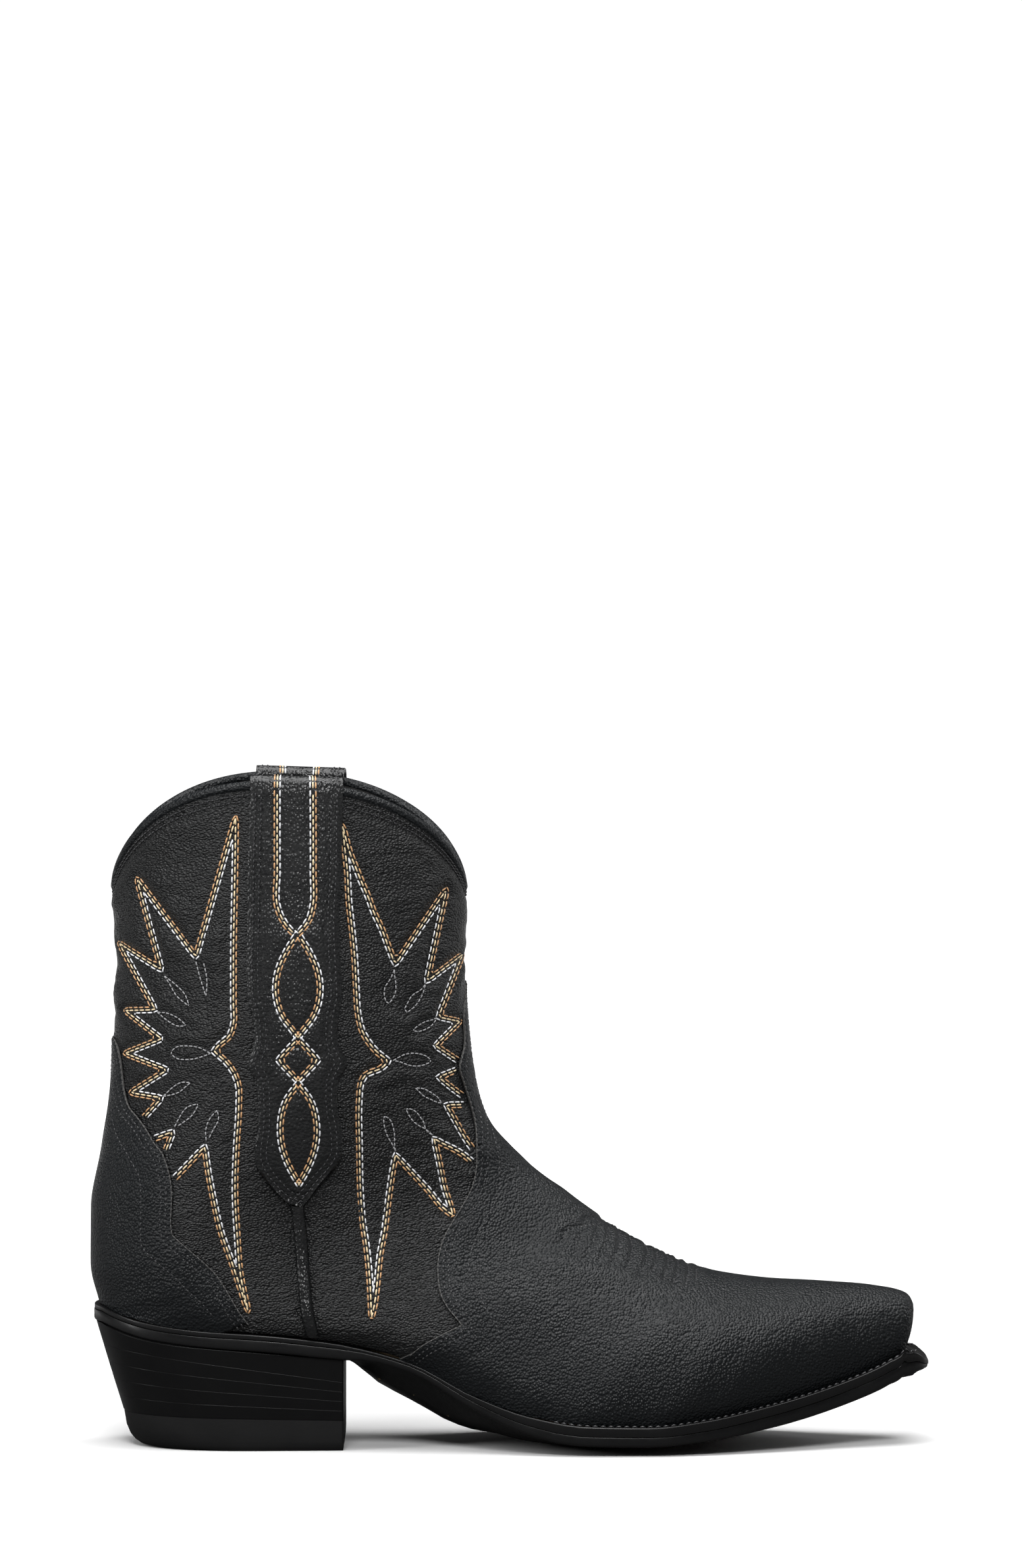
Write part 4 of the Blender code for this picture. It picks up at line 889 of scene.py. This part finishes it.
def bead_ring(arc):
    """A ring of points around the topline's bead."""
    arc = np.array([arc])
    along = (surface(0.0, arc + 0.008) - surface(0.0, arc - 0.008))[0]
    along /= np.linalg.norm(along)
    out = normals(0.0, arc)[0]
    up = np.cross(out, along)
    up *= math.copysign(1.0, up[2])
    centre = surface(0.0, arc)[0] - BEAD_INSET * out + BEAD_RISE * up
    turns = 2 * math.pi * np.arange(BEAD_SIDES) / BEAD_SIDES
    return [centre + BEAD_RADIUS * (1.05 * math.cos(t) * out + math.sin(t) * up) for t in turns]


def make_binding():
    rings = [bead_ring(-1 + 2 * k / BEAD_RINGS) for k in range(BEAD_RINGS)]
    loft("topline_bead", rings, [PAINTS["foot"]], ["topline_binding"], around=True)


# ---- Pull straps and side piping ----

STRAP_COLUMNS = 22
STRAP_TOP = 228.0
STRAP_FLESH = 0.5
FOLD_Z = 230.4
FOLD_DEPTH = -1.45
FOLD_RADII = (3.15, 1.95)
FOLD_STEPS = 12
INSIDE_HEIGHTS = (222.0, 212.0, 202.0, 190.0)
INSIDE_FACE, INSIDE_FLESH = -4.6, -3.4
LEVEL = np.array([1.0, 1.0, 0.0])


def strap_pad(across, height):
    """How far the sewn-down part of a strap stands up: a padded ridge between its inner rows."""
    return 0.75 * ramp(height, 88, 14) * ramp(height, 190, -12) * (1 - np.abs(across) ** 3)


def sew_fold(rings, ways, half):
    """The rows carried from a strap's face over its fold, on rings of points with their outward ways."""
    rows = [("black", sign * (half - depth), FINE_ROW) for sign in (-1, 1) for depth in STRAP_ROW_DEPTHS]
    for centre, inward in FOLD_ROWS:
        rows.append(("tan", centre - inward * ROW_SPACING, COLOURED))
        rows.append(("gold", centre, COLOURED))
        rows.append(("silver", centre + inward * ROW_SPACING, COLOURED))
    columns = np.linspace(-half, half, rings.shape[1])
    for paint, place, kind in rows:
        path, ups = (
            np.array([[np.interp(place, columns, ring[:, k]) for k in range(3)] for ring in values])
            for values in (rings, ways)
        )
        stitch(paint, path + 0.1 * ups, ups, kind, 0.3)


def make_strap(word, side):
    """A strap from its point on the side, over a fold above the topline, to its end inside the shaft."""
    heights = np.concatenate([[85.0, 85.6, 86.3, 87.2], np.arange(88.4, STRAP_TOP, 1.3), [STRAP_TOP]])
    left, right = (
        np.interp(heights, np.maximum.accumulate(line[:, 1]), line[:, 0])
        for line in (smooth_line(STRAP_BACK_EDGE, 0.6), smooth_line(STRAP_FRONT_EDGE, 0.6))
    )
    across = np.linspace(-1, 1, STRAP_COLUMNS + 1)
    x = (left + right)[:, None] / 2 + (right - left)[:, None] / 2 * across
    z = np.repeat(heights[:, None], len(across), axis=1)
    base, out = lay(x, z, side)
    every = np.tile(across, len(heights))
    pad = strap_pad(every, z.ravel()) - 0.55 * ridge(sewn_gap(base + out * STRAP_FACE), 0.9)
    worn = 0.8 * ramp(np.abs(every), 0.9, 0.1) ** 2
    shape = (len(heights), len(across), 3)
    face = list((base + out * (STRAP_FACE + pad - worn)[:, None]).reshape(shape))
    flesh = list((base + out * STRAP_FLESH).reshape(shape))
    top_base = base.reshape(shape)[-1]
    flat = unit(out.reshape(shape)[-1] * LEVEL)
    slope = -0.03 * (top_base[:, 0] - top_base[0, 0])
    ways = [flat]
    for k in range(FOLD_STEPS + 1):
        turn = math.pi * k / FOLD_STEPS
        ways.append(flat * math.cos(turn) + np.array([0.0, 0.0, math.sin(turn)]))
        for made, radius in zip((face, flesh), FOLD_RADII):
            place = top_base + flat * (FOLD_DEPTH + radius * math.cos(turn))
            place[:, 2] = FOLD_Z + slope + radius * math.sin(turn)
            made.append(place)
    sew_fold(np.array(face[-len(ways):]), np.array(ways), (right[-1] - left[-1]) / 2)
    for height in INSIDE_HEIGHTS:
        base, out = lay(x[-1], np.full(len(across), height), side, 0.0)
        face.append(base + out * LEVEL * INSIDE_FACE)
        flesh.append(base + out * LEVEL * INSIDE_FLESH)
    name = f"pull_strap_{word}_leather"
    grid_shell(name, face, flesh, [PAINTS["strap"]], [f"pull_strap_{word}"])


PIPING_LINE = [(71.6, 85.0), (72.6, 76), (73.4, 66), (74.2, 56), (75.2, 48), (77.0, 40.6)]
PIPING_HALF = 2.25


def make_piping(word, side):
    """The narrow rounded strip down each side seam."""
    line = smooth_line(PIPING_LINE, 1.0)
    across = np.linspace(-1, 1, 9)
    x = line[:, :1] + PIPING_HALF * across
    z = np.repeat(line[:, 1:], len(across), axis=1)
    base, out = lay(x, z, side)
    crown = 0.7 + 1.1 * np.sqrt(np.maximum(0.0, 1 - np.tile(across, len(line)) ** 2))
    shape = (len(line), len(across), 3)
    outer, inner = (base + out * crown[:, None]).reshape(shape), (base + out * 0.4).reshape(shape)
    name, replaced = f"side_piping_{word}", f"side_seam_strip_{word}"
    grid_shell(name, outer, inner, [PAINTS["strap"]], [replaced])


# ---- The bottom ----

FOOT = section(HEEL_ROW + np.arange(8 * (TOE_ROW - HEEL_ROW) + 1) / 8)
WELT_SINK = 0.55
JOINT = 0.12
CORNER_ROW = TOE_ROW - 2
CORNER_TURN = 0.8
CORNER_ROWS = 2.5
BREAST_ROW = 13.12
HEEL_ROWS = [*np.linspace(HEEL_ROW, 7.5, 9), *np.arange(7.75, BREAST_ROW, 0.25)]
WAIST_ROWS = [*np.arange(BREAST_ROW, TOE_ROW, 0.22)]
TOE_ROWS = [TOE_ROW + close for close in (0, 0.08, 0.16, 0.25, 0.35, 0.5, 0.7, 0.85, 0.95, 1.0)]


def foot_line(row):
    """(x, half width, middle) of the foot line at a row; the rows past the last close its end."""
    place = section(np.array([min(row, TOE_ROW)]))
    x, half, middle = (float(v[0]) for v in (place.back_x, place.foot, place.middle))
    close = max(0.0, row - TOE_ROW)
    return x + 0.6 * close, half * math.sqrt(max(0.0, 1 - close**2)), middle


def bed_z(x, y):
    """The height of the surface that the sole pieces are laid under."""
    edge_z = np.interp(x, FOOT.back_x, FOOT.back_z) - TOE_FALL * max(0.0, x - FOOT.back_x[-1])
    half = np.interp(x, FOOT.back_x, FOOT.foot)
    from_middle = abs(y - np.interp(x, FOOT.back_x, FOOT.middle))
    reach = min(1.0, from_middle / max(half, 1.0))
    droop = np.interp(x, TOE_DROOP_X, TOE_DROOP) * min(1.0, max(0.0, (from_middle - half) / 3.0))
    return edge_z - droop - np.interp(x, SOLE_X, SOLE_BOW) * (1 - reach**BOW_POWER)


def welt_top(x, y):
    return bed_z(x, y) - WELT_SINK


def welt_under(x, y):
    return welt_top(x, y) - np.interp(x, SOLE_X, EDGE_DEPTH)


def outsole_top(x, y):
    return welt_under(x, y) - JOINT


def outsole_bottom(x, y):
    return bed_z(x, y) - np.interp(x, SOLE_X, SOLE_DEPTH)


def sole_margin(row):
    return float(np.interp(foot_line(row)[0], SOLE_MARGIN_X, SOLE_MARGIN))


def outline_point(row, side, margin):
    """A point in plan, margin outside the foot line."""
    x, half, middle = foot_line(row)
    if half < 0.01:
        return np.array([x + (margin if row > TOE_ROW else -margin), middle])
    if row > CORNER_ROW:
        share = min(1.0, (row - CORNER_ROW) / CORNER_ROWS)
        turn = CORNER_TURN + (math.pi / 2 - CORNER_TURN) * share
        return np.array([x + margin * math.sin(turn), middle + side * (half + margin * math.cos(turn))])
    step = 0.1
    x0, half0, middle0 = foot_line(max(row - step, HEEL_ROW))
    x1, half1, middle1 = foot_line(min(row + step, TOE_ROW))
    run = np.array([x1 - x0, middle1 - middle0 + side * (half1 - half0)])
    run /= np.linalg.norm(run)
    return np.array([x, middle + side * half]) + margin * side * np.array([-run[1], run[0]])


def edge_section(row, side, depths, top, bottom, tuck):
    """A closed section of a sole strip: its top from inside out, its rounded edge and its underside."""
    margin = sole_margin(row) - tuck
    upper, lower = [], []
    for depth, drop_top, drop_bottom in depths:
        x, y = outline_point(row, side, margin - depth)
        upper.append((x, y, top(x, y) - drop_top))
        lower.append((x, y, bottom(x, y) + drop_bottom))
    return upper + lower[::-1]


def strip(name, rows, depths, replaced, tuck=0.0):
    """A strip of edge leather around the boot, from its rows down one side and back up the other."""
    walk = [(row, LATERAL) for row in rows] + [(row, MEDIAL) for row in reversed(rows[:-1])]
    rings = [edge_section(row, side, depths, welt_top, welt_under, tuck) for row, side in walk]
    loft(name, rings, [PAINTS["sole"]], [replaced], soft_angle=40.0)


def round_edge(width, top_radius, bottom_radius):
    """(depth, drop of the top, rise of the underside) from a strip's inside to its rounded outer edge."""
    steps = 4
    reach = max(top_radius, bottom_radius)
    made = [(width, 0.0, 0.0)]
    for k in range(steps + 1):
        depth = reach * (1 - math.sin(math.pi / 2 * k / steps))
        drops = []
        for radius in (top_radius, bottom_radius):
            inside = min(depth / radius, 1.0)
            drops.append(radius * (1 - math.sqrt(max(0.0, 1 - (1 - inside) ** 2))))
        made.append((depth, *drops))
    return made


def make_outsole():
    """The outsole, each row going from one rounded edge across the middle to the other."""
    upper, lower = [], []
    profile = round_edge(9.0, 0.25, 1.0)
    shares = (0.12, 0.25, 0.375, 0.5, 0.625, 0.75, 0.88)
    count = len(profile)
    for row in HEEL_ROWS + WAIST_ROWS + TOE_ROWS:
        sides = [
            edge_section(row, side, profile, outsole_top, outsole_bottom, 0.25) for side in (LATERAL, MEDIAL)
        ]
        tops = [np.array(ring[:count]) for ring in sides]
        bottoms = [np.array(ring[count:][::-1]) for ring in sides]
        for made, (near, far), height in ((upper, tops, outsole_top), (lower, bottoms, outsole_bottom)):
            inner = [near[0] + (far[0] - near[0]) * share for share in shares]
            inner = [(x, y, height(x, y)) for x, y, _ in inner]
            made.append([*near[::-1], *inner, *far])
    grid_shell("sole_leather", upper, lower, [PAINTS["sole"]], ["outsole"], soft_angle=40.0)


def make_sole():
    strip("welt_leather", WAIST_ROWS + TOE_ROWS, round_edge(9.0, 0.55, 0.2), "welt")
    rand_rows = [BREAST_ROW, *reversed(HEEL_ROWS)]
    strip("seat_rand", rand_rows, round_edge(7.0, 0.5, 0.25), "heel_seat_rand", 0.4)
    make_outsole()


# The heel: a stack of layers on a cap, level at the cap and tilting up to the seat.
HEEL_STEPS = 44
HEEL_ROUND = 38.0
HEEL_FULLNESS = 2.35
HEEL_BREAST = 87.4
LAYERS = 5
STACK_AT_BACK = (12.3, 41.9)
STACK_AT_FRONT = (10.5, 27.2)
HEEL_BACK_TOP = 48.0
LAYER_GAP = 0.01
CAP_HEIGHT = 11.7

# The cap's side, as (x of its back, height there, how far it is tucked in at the sides).
CAP_PROFILE = [
    (19.0, 0, 1.0), (16.2, 0.7, 0.5), (14.4, 1.9, 0.3), (13.0, 3.6, 0.1), (11.7, 6.5, 0), (10.8, 11.6, 0),
]


def d_ring(back, half, height, breast):
    """A ring of points around a heel layer: from the breast round the back and to the breast again."""
    ring = []
    for k in range(HEEL_STEPS + 1):
        turn = math.pi * k / HEEL_STEPS - math.pi / 2
        depth = abs(math.sin(turn)) ** (2 / HEEL_FULLNESS)
        x = back + HEEL_ROUND - HEEL_ROUND * max(0.0, math.cos(turn)) ** (2 / HEEL_FULLNESS)
        ring.append((x, math.copysign(half * depth, math.sin(turn))))
    narrow = half * 0.94
    corner = narrow * 0.985
    before = [(breast, -corner), (breast - 0.5, -narrow)]
    after = [(breast - 0.5, narrow), (breast, corner)]
    return [(x, y, height(x, y)) for x, y in before + ring + after]


def heel_back(z):
    """(x of the back, half width) of the heel at a height on its back."""
    share = (z - STACK_AT_BACK[0]) / (HEEL_BACK_TOP - STACK_AT_BACK[0])
    return 10.6 - 11.1 * share, 28.0 + 3.2 * share


def joint_plane(level):
    """The height of the joint over a number of layers, as a function of x and y."""
    back_z, front_z = (
        low + (high - low) * (level / LAYERS) for low, high in (STACK_AT_BACK, STACK_AT_FRONT)
    )
    return lambda x, y: back_z + (front_z - back_z) * x / HEEL_BREAST


def under_outsole(x, y):
    return outsole_bottom(x, y) - 0.08


def make_heel():
    for k in range(LAYERS):
        low, high = joint_plane(k), joint_plane(k + 1) if k < LAYERS - 1 else under_outsole
        rings = []
        for share, tuck in ((0.0, 0.05), (0.02, 0.0), (0.98, 0.0), (1.0, 0.05)):

            def height(x, y, at=share, low=low, high=high):
                return low(x, y) + LAYER_GAP + (high(x, y) - low(x, y) - 2 * LAYER_GAP) * at

            back, half = heel_back(height(5.0, 0.0))
            rings.append(d_ring(back + tuck, half - tuck, height, HEEL_BREAST - tuck))
        name, replaced = f"heel_stack_{k + 1}", f"heel_lift_{k + 1}"
        loft(name, rings, [PAINTS["lift"]], [replaced], soft_angle=15.0)
    rings = []
    top = joint_plane(0)
    for back, z, tuck in CAP_PROFILE:
        breast = HEEL_BREAST - 0.2 * tuck
        rings.append(d_ring(back, 27.9 - tuck, lambda x, y, z=z: top(x, y) * z / CAP_HEIGHT, breast))
    rings.append(d_ring(11.2, 27.5, lambda x, y: top(x, y) - 0.05, HEEL_BREAST - 0.3))
    loft("cap_tread", rings, [PAINTS["rubber"]], ["heel_cap"], soft_angle=35.0)


def sew_welt():
    """The visible welt stitches, on top of the welt around the forefoot."""
    for side in (LATERAL, MEDIAL):
        line = []
        for row in np.arange(16.4, TOE_ROW, 0.15):
            x, y = outline_point(row, side, sole_margin(row) * 0.55)
            line.append((x, y, welt_top(x, y) + 0.05))
        upward = np.tile([0.0, 0.0, 1.0], (len(line), 1))
        stitch("black", np.array(line), upward, WELT_ROW)


# ---- The scene, in metres ----

FLOOR_REACH = 12.0
FLOOR_SEEN, FLOOR_BOUNCE = 0.92, 0.12
BACKDROP_SEEN, BACKDROP_LIGHT = 1.05, 0.08
GLOW_START, GLOW_FULL = 0.35, 1.3
WHITE = (1.0, 1.0, 1.0, 1.0)
AIM = (0.0, 0.0, 0.11)
LAMPS = [
    ("overhead", (0.05, -0.1, 1.5), (1.5, 1.1), 30.0),
    ("front", (0.0, -1.5, 1.25), (0.7, 0.5), 20.0),
    ("left", (-1.5, -0.7, 0.8), (0.4, 1.0), 12.0),
    ("right", (1.5, 0.8, 0.9), (0.5, 1.0), 6.0),
]
CAMERA_TARGET = (0.0006, 0.0, 0.2286)
CAMERA_DISTANCE = 3.2
CAMERA_TILT = math.radians(2.8)
SENSOR_HEIGHT = 36.0
VIEW_HEIGHT = 0.5422


def camera_or_light(tree, to_camera, to_light):
    """A value with one level for what the camera sees and another for the light that is sent on."""
    path = tree.nodes.new("ShaderNodeLightPath")
    level = node(tree, "ShaderNodeMapRange", To_Min=to_light, To_Max=to_camera)
    tree.links.new(path.outputs["Is Camera Ray"], level.inputs["Value"])
    return level.outputs["Result"]


def stage():
    """A pale floor that fades into the backdrop by its distance from the boot."""
    mesh = bpy.data.meshes.new("floor")
    corners = [(x * FLOOR_REACH, y * FLOOR_REACH, 0) for x, y in ((-1, -1), (1, -1), (1, 1), (-1, 1))]
    mesh.from_pydata(corners, [], [(0, 1, 2, 3)])
    paint = bpy.data.materials.new("white_floor")
    paint.use_nodes = True
    tree = paint.node_tree
    shader = tree.nodes["Principled BSDF"]
    tree.links.new(camera_or_light(tree, FLOOR_SEEN, FLOOR_BOUNCE), shader.inputs["Base Color"])
    shader.inputs["Roughness"].default_value = 0.9
    shader.inputs["Specular IOR Level"].default_value = 0.1
    shader.inputs["Emission Color"].default_value = WHITE
    place = tree.nodes.new("ShaderNodeTexCoord")
    length = tree.nodes.new("ShaderNodeVectorMath")
    length.operation = "LENGTH"
    tree.links.new(place.outputs["Object"], length.inputs[0])
    glow = node(tree, "ShaderNodeMapRange", From_Min=GLOW_START, From_Max=GLOW_FULL, To_Min=0.0, To_Max=1.0)
    glow.interpolation_type = "SMOOTHSTEP"
    tree.links.new(length.outputs["Value"], glow.inputs["Value"])
    tree.links.new(glow.outputs["Result"], shader.inputs["Emission Strength"])
    mesh.materials.append(paint)
    add_object("floor", mesh)


def lamp(name, place, size, power):
    light = bpy.data.lights.new(name, "AREA")
    light.shape = "RECTANGLE"
    light.size, light.size_y = size
    light.energy = power
    obj = add_object(name, light)
    obj.location = place
    way = Vector(AIM) - Vector(place)
    obj.rotation_euler = way.to_track_quat("-Z", "Y").to_euler()


def light_scene():
    world = bpy.data.worlds.new("studio")
    world.use_nodes = True
    tree = world.node_tree
    backdrop = tree.nodes["Background"]
    backdrop.inputs["Color"].default_value = WHITE
    tree.links.new(camera_or_light(tree, BACKDROP_SEEN, BACKDROP_LIGHT), backdrop.inputs["Strength"])
    bpy.context.scene.world = world
    bpy.context.scene.view_settings.view_transform = "Standard"
    for values in LAMPS:
        lamp(*values)


def place_camera():
    view = bpy.data.cameras.new("camera")
    view.sensor_fit = "VERTICAL"
    view.sensor_height = SENSOR_HEIGHT
    view.lens = SENSOR_HEIGHT * CAMERA_DISTANCE / VIEW_HEIGHT
    view.clip_end = 40.0
    obj = add_object("camera", view)
    way = Vector((0.0, -math.cos(CAMERA_TILT), math.sin(CAMERA_TILT)))
    obj.location = Vector(CAMERA_TARGET) + CAMERA_DISTANCE * way
    obj.rotation_euler = (math.pi / 2 - CAMERA_TILT, 0.0, 0.0)
    bpy.context.scene.camera = obj


def repaint(names, paint):
    """Gives parts of the frame that stay as they are a better material."""
    for name in names:
        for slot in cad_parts[name].material_slots:
            slot.material = PAINTS[paint]


sew_shaft()
sew_edges()
sew_wrinkles()
sew_straps()
sewn_gap = groove_finder(["black", "tan", "gold", "silver", "grey"])
make_upper()
make_binding()
for strap_word, strap_side in (("lateral", LATERAL), ("medial", MEDIAL)):
    make_strap(strap_word, strap_side)
    make_piping(strap_word, strap_side)
make_sole()
make_heel()
sew_welt()
# The pale cut-edge line, a painted highlight.
make_threads("cut_edge_highlight_line", "edge")
for thread in ("black", "tan", "gold", "silver", "grey"):
    make_threads(f"{thread}_stitching", thread)
repaint(["front_shaft_lining", "back_shaft_lining", "vamp_lining", "sock_liner"], "lining")
stage()
light_scene()
place_camera()
